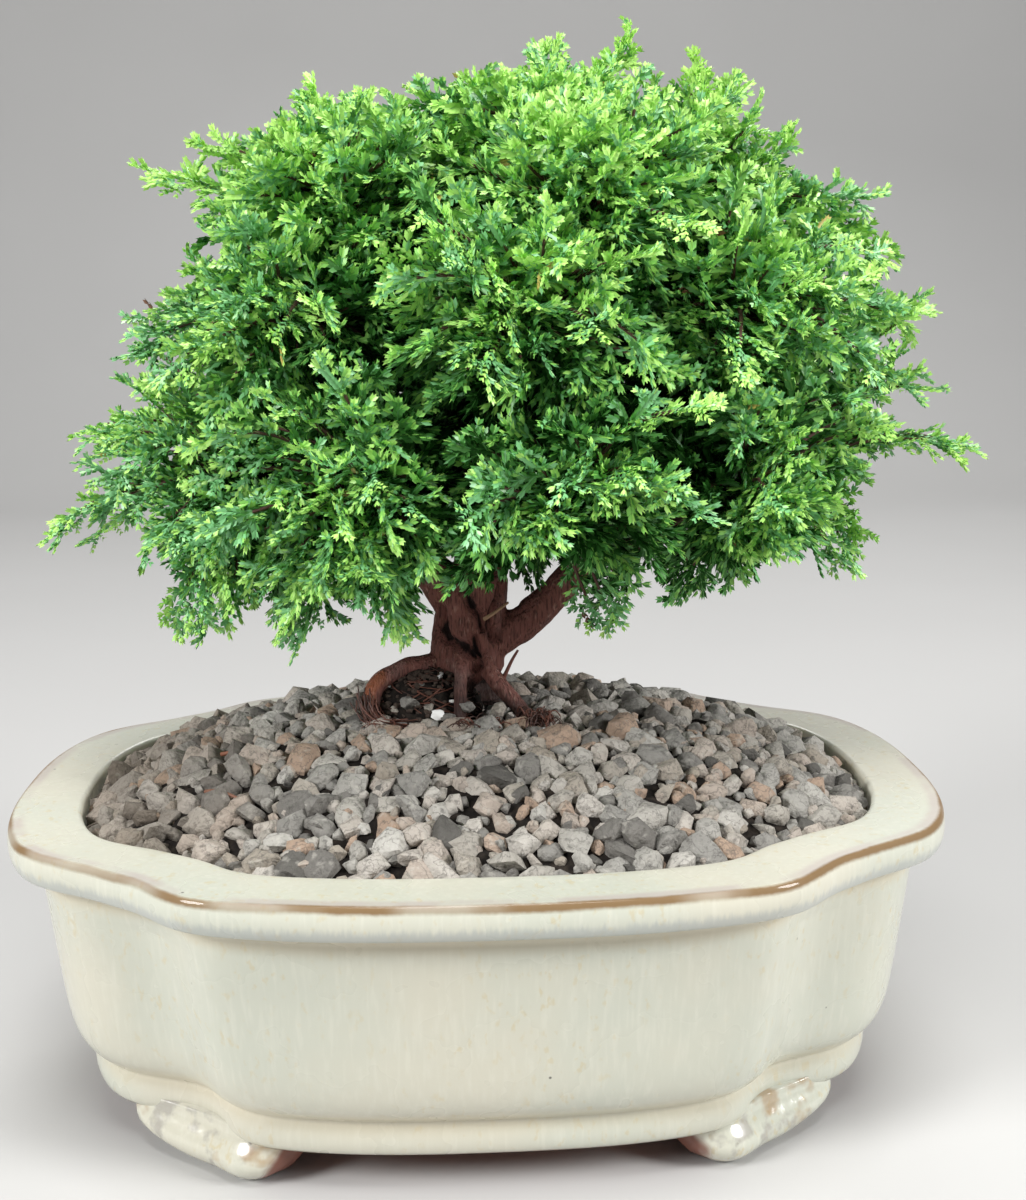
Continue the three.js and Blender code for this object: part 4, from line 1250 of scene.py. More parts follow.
@dataclass
class Wood:
    """Trunk, roots, stems and boughs as one skin with bark relief.

    Roots and stems are routes from the level of the pot's rim, with their end radii.
    """

    ground: float = 80.0
    foot: Point = (-4.0, 8.0, 80.3)
    neck: Point = (-1.5, 8.0, 96.0)
    fork: Point = (-1.0, 9.0, 110.0)
    radii: Point = (9.8, 7.7, 8.6)
    middle_radii: Pair = (9.5, 8.0)
    trunk_sides: int = 64
    trunk_levels: int = 30
    flare_lobes: int = 5
    flare_depth: float = 0.2
    flare_phase: float = 0.5
    flare_power: float = 2.5
    fork_rounding: float = 4.0
    fork_shares: Pair = (0.2, 0.95)
    fork_levels: int = 5
    roots: tuple[tuple[Route, Pair], ...] = (
        (((-7, 6, 24.5), (-16, 2, 24.5), (-23, -1, 21), (-24, -4, 11)), (2.5, 1.8)),
        (((-3.4, 2, 29), (-3.9, -2.5, 24), (-4.3, -5.5, 10)), (1.7, 1.3)),
        (((0.5, 1, 27), (4.5, -2.5, 21.5), (9, -4.5, 16.5), (14, -7, 10)), (2.2, 1.6)),
    )
    stem_routes: tuple[tuple[Route, Pair], ...] = (
        (((2, 8, 28), (13, 8, 35), (26, 8, 48), (38, 8, 54), (48, 7, 57)), (4.6, 2.3)),
        (((-4, 8, 36), (-12, 7, 48), (-24, 6, 62), (-35, 6, 71)), (4.6, 2.3)),
        (((0, 9, 36), (2, 11, 54), (6, 12, 76), (11, 9, 98), (13, 6, 115)), (6.6, 2.4)),
    )
    bough_radius_share: float = 0.68
    bough_most_radius: float = 2.6
    bough_tip_radius: float = 1.3
    inner_tip_radius: float = 0.7
    bough_arch: float = 0.1
    bough_entry: float = 3.0
    bough_least: float = 7.0
    bough_places: int = 32
    bough_first_place: int = 9
    bough_clearance: float = 0.8
    crossing_cost: float = 500.0
    fall_cost: float = 0.8
    bough_rise: float = 8.0
    bough_sunk_share: float = 0.6
    sample_step: float = 2.5
    voxel: float = 0.46
    smoothing: int = 5
    limb_sides: int = 18
    limb_step: float = 1.2
    block: int = 4000
    run_apart: float = 40.0
    bark: BarkRelief = BarkRelief()
    bark_level: float = 0.9
    bark_height: float = 0.9
    bark_power: float = 0.8
    full_bark_radius: float = 8.0
    least_bark: float = 0.12
    lump_size: float = 5.5
    lump_height: float = 0.7
    creases: tuple[tuple[Pair, ...], ...] = (
        ((-4.6, 117.0), (-4.2, 113.5), (-3.3, 109.4), (-1.6, 106.2), (1.0, 103.2), (1.6, 100.5)),
        ((6.6, 113.0), (5.1, 107.0), (3.7, 104.3), (3.3, 101.3), (4.1, 97.9)),
        ((-7.5, 98.2), (-5.1, 97.2), (-2.4, 96.5), (-0.8, 94.6)),
        ((-8.3, 104.3), (-8.1, 100.6), (-7.0, 97.8)),
        ((-0.4, 98.3), (0.5, 94.9), (0.0, 91.9)),
    )
    crease_mirror: float = -2.0
    crease_width: float = 1.0
    crease_depth: float = 1.8
    crease_painted_shade: float = 0.9
    crease_facing: float = 1.6
    hollow_height: float = 6.5
    hollow_fade: float = 4.0
    hollow_depth: float = 2.5
    hollow_apart: float = 1.25
    hollow_edge: float = 0.6
    low_dark_start: float = 3.0
    low_dark_height: float = 13.0
    most_low_dark: float = 0.7
    buried: float = 2.0
    bare_stretch: Pair = (0.56, 0.8)
    bare_lit_side: Point = (-1.6, -1.0, 1.0)
    bare_steps: int = 14
    bare_gain: float = 1.6
    bare_width: float = 2.7
    bare_start: float = 1.5
    bare_rise: float = 5.0
    stems: list[Limb] = field(default_factory=list)

    def limb(self, route: Route, radii: Pair) -> Limb:
        """Returns a limb along a route that is given from the level of the pot's rim."""
        return Limb(np.array(route, float) + [0, 0, RIM_LEVEL], radii)

    def trunk(self) -> Skin:
        """Returns the trunk with its flare lobes and rounded fork."""
        foot, neck, fork = (np.array(place) for place in (self.foot, self.neck, self.fork))
        low, narrow, high = self.radii
        angle = round_angles(self.trunk_sides)
        lobes = np.cos(self.flare_lobes * angle + self.flare_phase)
        around = np.stack([np.cos(angle), np.sin(angle), np.zeros_like(angle)], 1)
        rings = []
        for share in np.linspace(0, 1, self.trunk_levels):
            flare = (1 - share) ** self.flare_power
            base = narrow + (low - narrow) * flare + (high - narrow) * share ** 2
            radius = base * (1 + self.flare_depth * flare * lobes)
            rings.append(around * radius[:, None] + curve(foot, neck, fork, share))
        last = rings[-1]
        for share in np.linspace(*self.fork_shares, self.fork_levels):
            drawn_in = lerp(last.mean(0), last, math.sqrt(1 - share * share))
            rings.append(drawn_in + UP * self.fork_rounding * share)
        return loft(np.array(rings))

    def bough(self, space: CrownSpace, stem: Limb, share: float, mass: Mass) -> Limb:
        """Returns the bough from a place on a stem to where it enters a mass."""
        start = stem.at([share])[0]
        inward = start - mass.centre
        span = float(np.linalg.norm(inward))
        inward = inward / span
        entry = min(space.core(mass, inward) + self.bough_entry, span - self.bough_least)
        end = mass.centre + inward * entry
        bend = (start + end) / 2 + UP * self.bough_arch * span
        base = min(self.bough_most_radius, self.bough_radius_share * stem.radius(share))
        return Limb([start, bend, end], (base, self.bough_tip_radius))

    def grow_boughs(self, space: CrownSpace) -> None:
        """Gives each mass its bough, where the way is short, rising and clear of other limbs."""
        grown = [np.empty((0, 3)), np.empty(0)]
        stem_samples = [stem.samples(self.sample_step) for stem in self.stems]
        for mass in reversed(space.masses):
            best = None
            for s, stem in enumerate(self.stems):
                others = [sample for k, sample in enumerate(stem_samples) if k != s]
                places = np.concatenate([p for p, _ in others] + [grown[0]])
                radii = np.concatenate([r for _, r in others] + [grown[1]])
                for place in range(self.bough_first_place, self.bough_places):
                    share = place / self.bough_places
                    bough = self.bough(space, stem, share, mass)
                    points, widths = bough.samples(self.sample_step)
                    start = points[0]
                    away = np.linalg.norm(points - start, axis=1)
                    free = away > self.bough_sunk_share * stem.radius(share)
                    apart = np.linalg.norm(points[free][:, None] - places[None], axis=2)
                    crossed = np.any(apart < widths[free][:, None] + radii + self.bough_clearance)
                    fall = max(0.0, start[2] + self.bough_rise - mass.centre[2])
                    cost = (np.linalg.norm(start - mass.centre) + self.fall_cost * fall
                            + (self.crossing_cost if crossed else 0.0))
                    if best is None or cost < best[0]:
                        best = (cost, bough, points[free], widths[free])
            mass.bough = best[1]
            grown = [np.concatenate([old, new]) for old, new in zip(grown, best[2:])]

    def limbs(self, space: CrownSpace) -> list[Limb]:
        """Returns roots, stems, boughs and the stems inside the masses."""
        roots = [self.limb(route, radii) for route, radii in self.roots]
        radii = (self.bough_tip_radius, self.inner_tip_radius)
        inner = [Limb([mass.bough.at([1.0])[0], mass.centre], radii) for mass in space.masses]
        return roots + self.stems + [mass.bough for mass in space.masses] + inner

    def skin(self, limbs: Sequence[Limb]) -> bpy.types.Mesh:
        """Returns one smooth skin round the trunk and all limbs."""
        tubes = [limb.tube(self.limb_sides, self.limb_step) for limb in limbs]
        blank = bpy.data.materials.new("wood_blank")
        rough = mesh_piece("wood_rough", joined([self.trunk(), *tubes]), blank)
        remesh = rough.modifiers.new("remesh", "REMESH")
        remesh.mode = "VOXEL"
        remesh.voxel_size = self.voxel * MM
        soft = rough.modifiers.new("soft", "SMOOTH")
        soft.factor = 0.5
        soft.iterations = self.smoothing
        shaped = rough.evaluated_get(bpy.context.evaluated_depsgraph_get())
        mesh = bpy.data.meshes.new_from_object(shaped)
        bpy.data.objects.remove(rough)
        bpy.data.materials.remove(blank)
        return mesh

    def along_limbs(self, points: Array, limbs: Sequence[Limb]) -> tuple[Array, Array, Array]:
        """Finds each point's limb.

        Args:
            points: Skin points in millimetres.
            limbs: All the limbs.

        Returns:
            The run along the limb, the angle round it and its radius, for each point.
        """
        trunk = Limb([self.foot, self.neck, self.fork], self.middle_radii)
        rows = [limb.samples(1.0) for limb in [trunk, *limbs]]
        place = np.concatenate([p for p, _ in rows])
        radius = np.concatenate([r for _, r in rows])
        along = np.concatenate([unit(np.gradient(p, axis=0)) for p, _ in rows])
        run = np.concatenate([np.arange(len(p)) + self.run_apart * i for i, (p, _) in enumerate(rows)])
        nearest = np.empty(len(points), int)
        for start in range(0, len(points), self.block):
            part = slice(start, start + self.block)
            apart = np.linalg.norm(points[part][:, None] - place[None], axis=2) - radius[None]
            nearest[part] = np.argmin(apart, axis=1)
        away = points - place[nearest]
        axis = along[nearest]
        first = square_to(np.broadcast_to(ASKEW, axis.shape), axis)
        angle = np.arctan2(np.sum(away * np.cross(axis, first), 1), np.sum(away * first, 1))
        return run[nearest] + np.sum(away * axis, 1), angle, radius[nearest]

    def folds(self, points: Array, normals: Array) -> Array:
        """Returns how deep points lie in the folds between the trunk's lobes, from 0 to 1."""
        flat = points[:, [0, 2]]
        flat[:, 0] = np.where(normals[:, 1] < 0, flat[:, 0], self.crease_mirror - flat[:, 0])
        away = np.full(len(points), np.inf)
        for line in self.creases:
            for start, end in zip(np.array(line[:-1]), np.array(line[1:])):
                way = end - start
                share = clamp((flat - start) @ way / (way @ way))
                away = np.minimum(away, np.linalg.norm(flat - start - share[:, None] * way, axis=1))
        return np.exp(-(away / self.crease_width) ** 2) * clamp(np.abs(normals[:, 1]) * self.crease_facing)

    def hollow(self, points: Array, limbs: Sequence[Limb]) -> Array:
        """Returns how far points lie in the hollow between the roots, from 0 to 1; it is sunk in and
        painted as shade.
        """
        low = clamp(1 - (points[:, 2] - self.ground - self.hollow_height) / self.hollow_fade)
        near = np.full(len(points), np.inf)
        for root in limbs[:len(self.roots)]:
            axis, radii = root.samples(1.0)
            apart = np.linalg.norm(points[:, None] - axis[None], axis=2) / radii[None]
            near = np.minimum(near, apart.min(axis=1))
        return low * clamp((near - self.hollow_apart) / self.hollow_edge)

    def bare(self, points: Array) -> Array:
        """Returns how bare of bark points lie, which they are on the lit outer bend of the arched root,
        from 0 to 1; the orange there is partly a painted highlight.
        """
        shares = np.linspace(*self.bare_stretch, self.bare_steps)
        arch = self.limb(*self.roots[0]).at(shares) + self.bare_lit_side
        away = np.min(np.linalg.norm(points[:, None] - arch[None], axis=2), axis=1)
        height = points[:, 2] - self.ground - self.bare_start
        return clamp(self.bare_gain - away / self.bare_width) * clamp(height / self.bare_rise)

    def build(self, space: CrownSpace, finish: BarkFinish) -> None:
        """Builds the wood and gives it its bark."""
        self.stems = [self.limb(route, radii) for route, radii in self.stem_routes]
        self.grow_boughs(space)
        limbs = self.limbs(space)
        mesh = self.skin(limbs)
        places = np.empty((len(mesh.vertices), 3), np.float32)
        mesh.vertices.foreach_get("co", places.ravel())
        normals = np.empty_like(places)
        mesh.vertex_normals.foreach_get("vector", normals.ravel())
        points = (places.astype(float) - ORIGIN) / MM
        run, angle, radius = self.along_limbs(points, limbs)
        around = np.stack([np.cos(angle), np.sin(angle)], 1) * radius[:, None]
        folds, hollow = self.folds(points, normals), self.hollow(points, limbs)
        # Painted shade: the folds lower the relief, which the bark reads as crack colour.
        relief = self.bark.heights(points, around, run) - self.crease_painted_shade * folds
        depth = np.clip(radius / self.full_bark_radius, self.least_bark, 1.0) ** self.bark_power
        ridges = (np.maximum(relief, 0) - self.bark_level) * self.bark_height
        push = (ridges + lumps(points, self.lump_size) * self.lump_height) * depth
        push = push - self.crease_depth * folds - self.hollow_depth * hollow
        moved = points + normals * push[:, None]
        moved[:, 2] = np.maximum(moved[:, 2], self.ground - self.buried)
        mesh.vertices.foreach_set("co", (moved * MM + ORIGIN).astype(np.float32).ravel())
        # Darker towards the ground; the hollow between the roots adds painted shade.
        height = moved[:, 2] - self.ground - self.low_dark_start
        damp = clamp(1 - height / self.low_dark_height) * self.most_low_dark
        bare = self.bare(moved)
        store(mesh, {"relief": relief, "damp": np.maximum(damp, hollow) * (1 - bare), "bare": bare})
        mesh.shade_smooth()
        mesh.materials.clear()
        mesh.materials.append(finish.material())
        mesh.name = "wood"
        nodes = ["trunk", "stem_right", "stem_left", "stem_centre"]
        settle(linked("wood", mesh), nodes + [f"bough_{mass.name}" for mass in space.masses])


@dataclass
class Fronds:
    """Many fronds at once: a path from inside a mass to a tip, and how it is dressed."""

    start: Array
    bend: Array
    tip: Array
    away: Array
    roll: Array
    leafy: Array
    tone: Array
    size: Array

    def at(self, shares: Array) -> Array:
        """Returns each frond's point at its share."""
        return curve(self.start, self.bend, self.tip, shares[:, None])

    def along(self, shares: Array) -> Array:
        """Returns each frond's direction at its share."""
        s = shares[:, None]
        return unit((self.bend - self.start) * (1 - s) + (self.tip - self.bend) * s)

    def face(self, along: Array) -> Array:
        """Returns the normals of the fronds' upper faces."""
        plain = square_to(self.away + 0.6 * UP + 1e-3, along)
        return turned(plain, along, self.roll)

    def length(self) -> Array:
        """Returns the paths' lengths."""
        points = np.stack([self.at(np.full(len(self.tip), s)) for s in np.linspace(0, 1, 9)], 1)
        return np.sum(np.linalg.norm(np.diff(points, axis=1), axis=2), axis=1)


@dataclass
class Fingers:
    """Many leafy fingers at once, each a short shoot clad in scales."""

    base: Array
    axis: Array
    face: Array
    length: Array
    droop: Array
    tone: Array
    light: Array
    width: Array

    def chosen(self, keep: Array) -> "Fingers":
        """Returns the fingers that are kept."""
        return Fingers(*(values[keep] for values in vars(self).values()))

    @staticmethod
    def joined(parts: Sequence["Fingers"]) -> "Fingers":
        """Returns several sets as one."""
        return Fingers(*(np.concatenate([vars(part)[name] for part in parts]) for name in vars(parts[0])))


@dataclass(frozen=True)
class SprayRule:
    """How a frond's sprays are set, from its leafy base to its tip.

    A branch is its place along the spray, its length and its side.
    """

    count: int = 9
    reach: float = 0.96
    length: float = 7.0
    lengths: Pair = (0.72, 1.2)
    most_size: float = 1.2
    least_swell: float = 0.45
    swell_gain: float = 0.55
    swell_arc: Pair = (0.2, 0.74)
    opening: Pair = (50.0, 30.0)
    opening_spread: float = 9.0
    lift: Pair = (0.12, 0.3)
    fall: float = 0.08
    wander: float = 0.08
    roll: float = 0.35
    tone_spread: float = 0.6
    base_light: float = 0.82
    sag: Pair = (0.6, 2.2)
    curl: Pair = (0.3, 0.7)
    sag_length: float = 10.0
    width_share: float = 0.86
    branches: tuple[tuple[float, float, int], ...] = ((0.22, 0.52, 1), (0.44, 0.5, -1), (0.66, 0.42, 1))
    branch_angle: float = 42.0
    branch_spread: float = 8.0
    branch_lift: Pair = (0.3, 0.55)
    branch_lengths: Pair = (0.8, 1.25)
    branch_sag: float = 0.6
    branch_tone: float = 1.0
    least_finger: float = 1.9

    def swell(self, u: float) -> float:
        """Returns how long a spray is at a share of the way to the tip."""
        start, run = self.swell_arc
        return self.least_swell + self.swell_gain * math.sin(math.pi * (start + run * u))

    def fingers(self, fronds: Fronds, k: int, space: CrownSpace, rng: np.random.Generator) -> list[Fingers]:
        """Returns the fingers of one spray on every frond.

        Args:
            fronds: The fronds.
            k: The spray's number, counted from the leafy base.
            space: The crown, which gives the light.
            rng: Where the random numbers come from.

        Returns:
            The sprays' own fingers, then those of each branch.
        """
        count = len(fronds.tip)
        u = (k + 0.5) / self.count
        share = 1 - fronds.leafy * (1 - u * self.reach)
        base, along = fronds.at(share), fronds.along(share)
        face = fronds.face(along)
        sign = 1.0 if k % 2 else -1.0
        side = np.cross(along, face) * sign
        opening = np.radians(lerp(*self.opening, u) + rng.normal(0, self.opening_spread, count))[:, None]
        axis = along * np.cos(opening) + side * np.sin(opening) + face * rng.normal(*self.lift, (count, 1))
        axis = unit(axis - UP * self.fall + rng.normal(0, self.wander, axis.shape))
        face = turned(square_to(face, axis), axis, rng.normal(0, self.roll, count))
        length = self.length * self.swell(u) * rng.uniform(*self.lengths, count)
        length = length * np.minimum(fronds.size, self.most_size)
        tone = fronds.tone + rng.normal(0, self.tone_spread, count)
        width = FINGER_WIDTH * fronds.size
        light = space.light(base) * lerp(self.base_light, 1.0, u)
        sag = -UP * rng.uniform(*self.sag, (count, 1)) + face * rng.normal(*self.curl, (count, 1))
        droop = sag * (length[:, None] / self.sag_length)
        out = [Fingers(base, axis, face, length, droop, tone, light, width * self.width_share)]
        across = np.cross(axis, face) * sign
        for place, part, turn in self.branches:
            angle = np.radians(self.branch_angle + rng.normal(0, self.branch_spread, count))[:, None]
            lift = rng.normal(*self.branch_lift, (count, 1))
            outward = across * turn * np.cos(lift) + face * np.sin(lift)
            branch = unit(axis * np.cos(angle) + outward * np.sin(angle))
            root = base + axis * (length * place)[:, None] + droop * place ** 2
            small = length * part * rng.uniform(*self.branch_lengths, count)
            one = Fingers(root, branch, square_to(face, branch), small, droop * part * self.branch_sag,
                          tone + rng.normal(0, self.branch_tone, count), light, width)
            out.append(one.chosen(small > self.least_finger))
        return out


@dataclass(frozen=True)
class ShadeRule:
    """How shades are dealt to scales: lighter to the outside, the top and the finger's end, partly as
    painted light and shade, partly as fresher growth at the tips.

    A scale's level counts through the warm or the cool row of shades.
    """

    plain: float = 1.42
    by_light: float = 2.62
    painted_light_by_height: float = 0.5
    by_tone: float = 0.42
    by_share: float = 2.35
    share_middle: float = 0.4
    share_inside: float = 0.3
    painted_shade_by_scale: Point = (-0.7, -0.7, 0.45)
    spread: float = 0.38
    height_start: float = 115.0
    height_run: float = 90.0
    wide_share: float = 1.02
    warm_tone: float = 0.55
    warm_height: float = 0.6
    warm_share: float = 2.0
    warm_spread: float = 0.5
    cool_under: float = 0.22
    dead_share: float = 0.0025
    dead_light: float = 0.85
    dead_length: float = 4.5
    straw_share: float = 0.0015
    straw_start: float = 0.4
    warm: tuple[Shade, ...] = (
        Shade.INNER, Shade.DEEP, Shade.MID, Shade.FRESH, Shade.BRIGHT, Shade.LIME)
    cool: tuple[Shade, ...] = (
        Shade.INNER, Shade.DEEP, Shade.BLUE, Shade.BLUE, Shade.MINT, Shade.BRIGHT)

    def deal(self, fingers: Fingers, shares: Array, rng: np.random.Generator) -> Array:
        """Deals out shades.

        Args:
            fingers: The fingers.
            shares: Where their whorls of scales lie along them.
            rng: Where the random numbers come from.

        Returns:
            The number of a shade for each scale, as fingers by whorls by three.
        """
        height = clamp((fingers.base[:, 2] - self.height_start) / self.height_run)
        # Painted shade: fingers of the under and inner layers, which are wider, drop one level.
        deep_layer_shade = np.where(fingers.width > FINGER_WIDTH * self.wide_share, 1.0, 0.0)
        # Painted shade and light: darker deep in the crown and low down, lighter at its outside and its
        # top.
        level = self.plain + self.by_light * fingers.light + self.painted_light_by_height * height
        level = (level + self.by_tone * fingers.tone - deep_layer_shade)[:, None]
        lit = self.share_inside + (1 - self.share_inside) * fingers.light[:, None]
        level = level + self.by_share * (shares - self.share_middle) * lit
        # Painted light and shade by facing: the side scales darker, the top scale lighter.
        level = level[..., None] + np.array(self.painted_shade_by_scale) + rng.normal(0, self.spread, (*shares.shape, 3))
        pick = np.clip(level, 0, len(self.warm) - 1).astype(int)
        warmth = (self.warm_tone * fingers.tone + self.warm_height * height)[:, None]
        warmth = warmth + self.warm_share * (shares - 0.5)
        cool = warmth[..., None] + rng.normal(0, self.warm_spread, pick.shape) < self.cool_under
        names = list(Shade)
        rows = np.array([[names.index(shade) for shade in row] for row in (self.warm, self.cool)])
        dealt = np.where(cool, rows[1][pick], rows[0][pick])
        odd = rng.random(len(height))[:, None, None]
        dull = ((fingers.light < self.dead_light) & (fingers.length < self.dead_length))[:, None, None]
        dealt = np.where((odd < self.dead_share) & dull, names.index(Shade.DEAD), dealt)
        straw = (odd > 1 - self.straw_share) & (shares[..., None] > self.straw_start)
        return np.where(straw, names.index(Shade.STRAW), dealt)


class Layer(Enum):
    """Layers of fronds: the shares of the reach that their tips lie at, and how large their parts are."""

    OUTER = ((0.93, 1.0), 1.0)
    UNDER = ((0.66, 0.88), 1.1)
    INNER = ((0.85, 1.0), 1.24)


@dataclass
class Crown:
    """Fronds, sprays, fingers and scales that grow on from the boughs to the crown's envelope.

    A hollow is its place, its radius and its depth. A scale's corner lies along its reach, across the
    finger and above it.
    """

    space: CrownSpace
    spray: SprayRule = SprayRule()
    dealing: ShadeRule = ShadeRule()
    directions: int = 98
    direction_spread: float = 0.06
    under_share: float = 0.46
    inner_share: float = 0.8
    leafy_length: float = 24.0
    leafy_lengths: Pair = (0.8, 1.2)
    most_leafy: float = 0.94
    bend_share: float = 0.55
    start_spread: float = 1.6
    end_spread: float = 0.16
    roll_spread: float = 0.7
    shaft_parts: int = 3
    shaft_overlap: float = 1.06
    shaft_tone: float = 0.4
    shaft_light: float = 0.7
    scale_pitch: float = 1.32
    inner_pitch: float = 1.5
    pitch_light: float = 1.5
    most_scales: int = 8
    side_scale: Route = ((0.0, 0.12, -0.1), (0.42, 1.0, -0.42), (1.0, 1.1, 0.1), (0.7, 0.2, 0.42))
    top_scale: Route = ((0.0, 0.0, 0.2), (0.5, 0.6, 0.18), (1.08, 0.0, 0.72), (0.5, -0.6, 0.18))
    scale_start: float = 0.02
    scale_overlap: float = 1.27
    first_taper: float = 0.85
    last_taper: float = 0.78
    twig_radii: Pair = (0.75, 0.32)
    twig_steps: int = 7
    twig_end: float = 0.35
    twig_brown: Colour = rgb(0.075, 0.032, 0.022)
    wall_share: float = 0.97
    wall_play: float = 1.1
    least_reach: float = 9.0
    margin: float = 5.5
    margin_places: tuple[float, ...] = (-70.0, -20.0, 5.0, 40.0, 90.0)
    margins_below: tuple[float, ...] = (5.0, 7.0, 10.0, 10.0, 12.0)
    below_level: float = 158.0
    below_run: float = 45.0
    lump_size: float = 21.0
    lump_depth: float = 7.0
    lump_gain: float = 1.8
    hollow_run: float = 45.0
    hollows: tuple[tuple[float, float, float, float, float], ...] = (
        (0, -70, 166, 10, 9), (-19, -70, 163, 9, 5), (12, -70, 155, 10, 10), (3, -70, 141, 9, 10),
        (-40, -70, 141, 9, 9), (30, -70, 131, 9, 9), (-5, -70, 147, 8, 10), (67, -5, 197, 14, 13),
        (80, -5, 190, 11, 9), (-65, -5, 185, 14, 8), (-77, -5, 160, 14, 3), (94, -5, 139, 14, 13),
        (91, -5, 127, 15, 14), (51, -5, 218, 16, -6), (-83, -5, 137, 15, -4), (100, -5, 157, 14, -4),
        (0, -5, 222, 20, 3), (88, -5, 182, 12, -4), (27, -32, 118, 17, 15), (-68, -25, 108, 13, 7),
        (80, -15, 112, 12, 7), (16, -32, 117, 10, 12),
    )
    reaching_tips: Route = (
        (34, 0, 160), (-94, 0, 54), (-69, 0, 133), (110, -4, 72), (87, 0, 127), (98, 0, 106),
        (-32, -10, 150), (-61, -20, 38), (-40, -30, 39), (82, -10, 50), (-85, 0, 78), (-15, -28, 37),
        (27, -28, 39), (41, -25, 44), (52, -25, 48), (76, -20, 50), (-52, -30, 41), (85, 0, 119),
        (91, 0, 116), (47, 0, 156), (55, 0, 152), (-58, 0, 138), (18, 0, 159), (69, 0, 140),
    )
    companions: int = 2
    companion_shares: Pair = (0.06, 0.15)
    companion_spread: float = 2.0
    roughness: float = 0.38
    inner_gloss: float = 0.1
    most_faces: int = 190000
    seed: int = 41

    def inset(self, tips: Array) -> Array:
        """Returns how far tips stay inside the envelope, so that their sprays just reach it."""
        low = clamp((self.below_level - tips[:, 2]) / self.below_run)
        plain = lerp(self.margin, np.interp(tips[:, 0], self.margin_places, self.margins_below), low)
        plain = plain + self.lump_depth * clamp(lumps(tips, self.lump_size) * self.lump_gain)
        for x, y, z, radius, depth in self.hollows:
            away = np.hypot(tips[:, 0] - x, tips[:, 2] - z) / radius
            behind = (tips[:, 1] - y) / self.hollow_run
            plain = plain + depth * np.exp(-away ** 4 - behind ** 4)
        return plain

    def frond_ends(self, rng: np.random.Generator) -> tuple[Array, Array, Array]:
        """Returns starts and tips of the fronds and how large their parts are."""
        starts, tips, sizes = [], [], []
        i = np.arange(self.directions)
        z = 1 - (2 * i + 1) / self.directions
        flat = np.sqrt(1 - z * z)
        for mass in self.space.masses:
            turn = i * GOLDEN_ANGLE + rng.uniform(0, FULL_TURN)
            way = np.stack([flat * np.cos(turn), flat * np.sin(turn), z], 1)
            way = unit(way + rng.normal(0, self.direction_spread, way.shape))
            middle = np.repeat(mass.centre[None], len(way), 0)
            by_crown = self.space.distance(middle, way)
            by_wall = self.wall_share * self.space.wall_distance(mass, way)
            by_crown = by_crown - self.inset(middle + way * by_crown[:, None])
            outside = (by_crown < by_wall * self.wall_play) & (by_crown > self.least_reach)
            chance = rng.random(len(way))
            layers = {
                Layer.OUTER: (outside, by_crown),
                Layer.UNDER: (outside & (chance < self.under_share), by_crown),
                Layer.INNER: (~outside & (chance < self.inner_share), np.minimum(by_wall, by_crown)),
            }
            for layer, (keep, reach) in layers.items():
                shares, size = layer.value
                out = (reach * rng.uniform(*shares, len(way)))[:, None]
                starts.append(middle[keep])
                tips.append((mass.centre + way * out)[keep])
                sizes.append(np.full(keep.sum(), size))
        centres = np.array([mass.centre for mass in self.space.masses])
        for tip in np.array(self.reaching_tips, float) + [0, 0, RIM_LEVEL]:
            nearest = centres[np.argmin(np.linalg.norm(centres - tip, axis=1))]
            beside = tip + (nearest - tip) * rng.uniform(*self.companion_shares, (self.companions, 1))
            beside = beside + rng.normal(0, self.companion_spread, (self.companions, 3))
            group = np.concatenate([tip[None], beside])
            starts.append(np.repeat(nearest[None], len(group), 0))
            tips.append(group)
            sizes.append(np.ones(len(group)))
        return np.concatenate(starts), np.concatenate(tips), np.concatenate(sizes)

    def fronds(self) -> Fronds:
        """Returns all the fronds."""
        rng = np.random.default_rng(self.seed)
        start, tip, size = self.frond_ends(rng)
        count = len(tip)
        start = start + rng.normal(0, self.start_spread, start.shape)
        away = unit(tip - start)
        final = unit(away + self.space.lean(tip) + rng.normal(0, self.end_spread, away.shape))
        span = np.linalg.norm(tip - start, axis=1, keepdims=True)
        bend = tip - final * span * self.bend_share
        tone = rng.normal(0, 1, count)
        roll = rng.normal(0, self.roll_spread, count)
        fronds = Fronds(start, bend, tip, away, roll, np.empty(count), tone, size)
        leafy = self.leafy_length * rng.uniform(*self.leafy_lengths, count) / fronds.length()
        fronds.leafy = np.minimum(leafy, self.most_leafy)
        return fronds

    def shaft_fingers(self, fronds: Fronds, rng: np.random.Generator) -> list[Fingers]:
        """Returns the scale-clad shaft of each frond, in a few lengths."""
        cuts = np.linspace(0, 1, self.shaft_parts + 1)
        out = []
        for low, high in zip(cuts[:-1], cuts[1:]):
            base, end = (fronds.at(1 - fronds.leafy * (1 - cut)) for cut in (low, high))
            axis = unit(end - base)
            length = np.linalg.norm(end - base, axis=1) * self.shaft_overlap
            face = square_to(fronds.face(axis), axis)
            tone = fronds.tone + rng.normal(0, self.shaft_tone, len(base))
            light = self.space.light(base) * lerp(self.shaft_light, 1.0, high)
            out.append(Fingers(base, axis, face, length, np.zeros_like(base), tone, light,
                               FINGER_WIDTH * fronds.size))
        return out

    def fingers(self, fronds: Fronds) -> Fingers:
        """Returns all the fingers."""
        rng = np.random.default_rng(self.seed + 1)
        parts = self.shaft_fingers(fronds, rng)
        for k in range(self.spray.count):
            parts.extend(self.spray.fingers(fronds, k, self.space, rng))
        return Fingers.joined(parts)

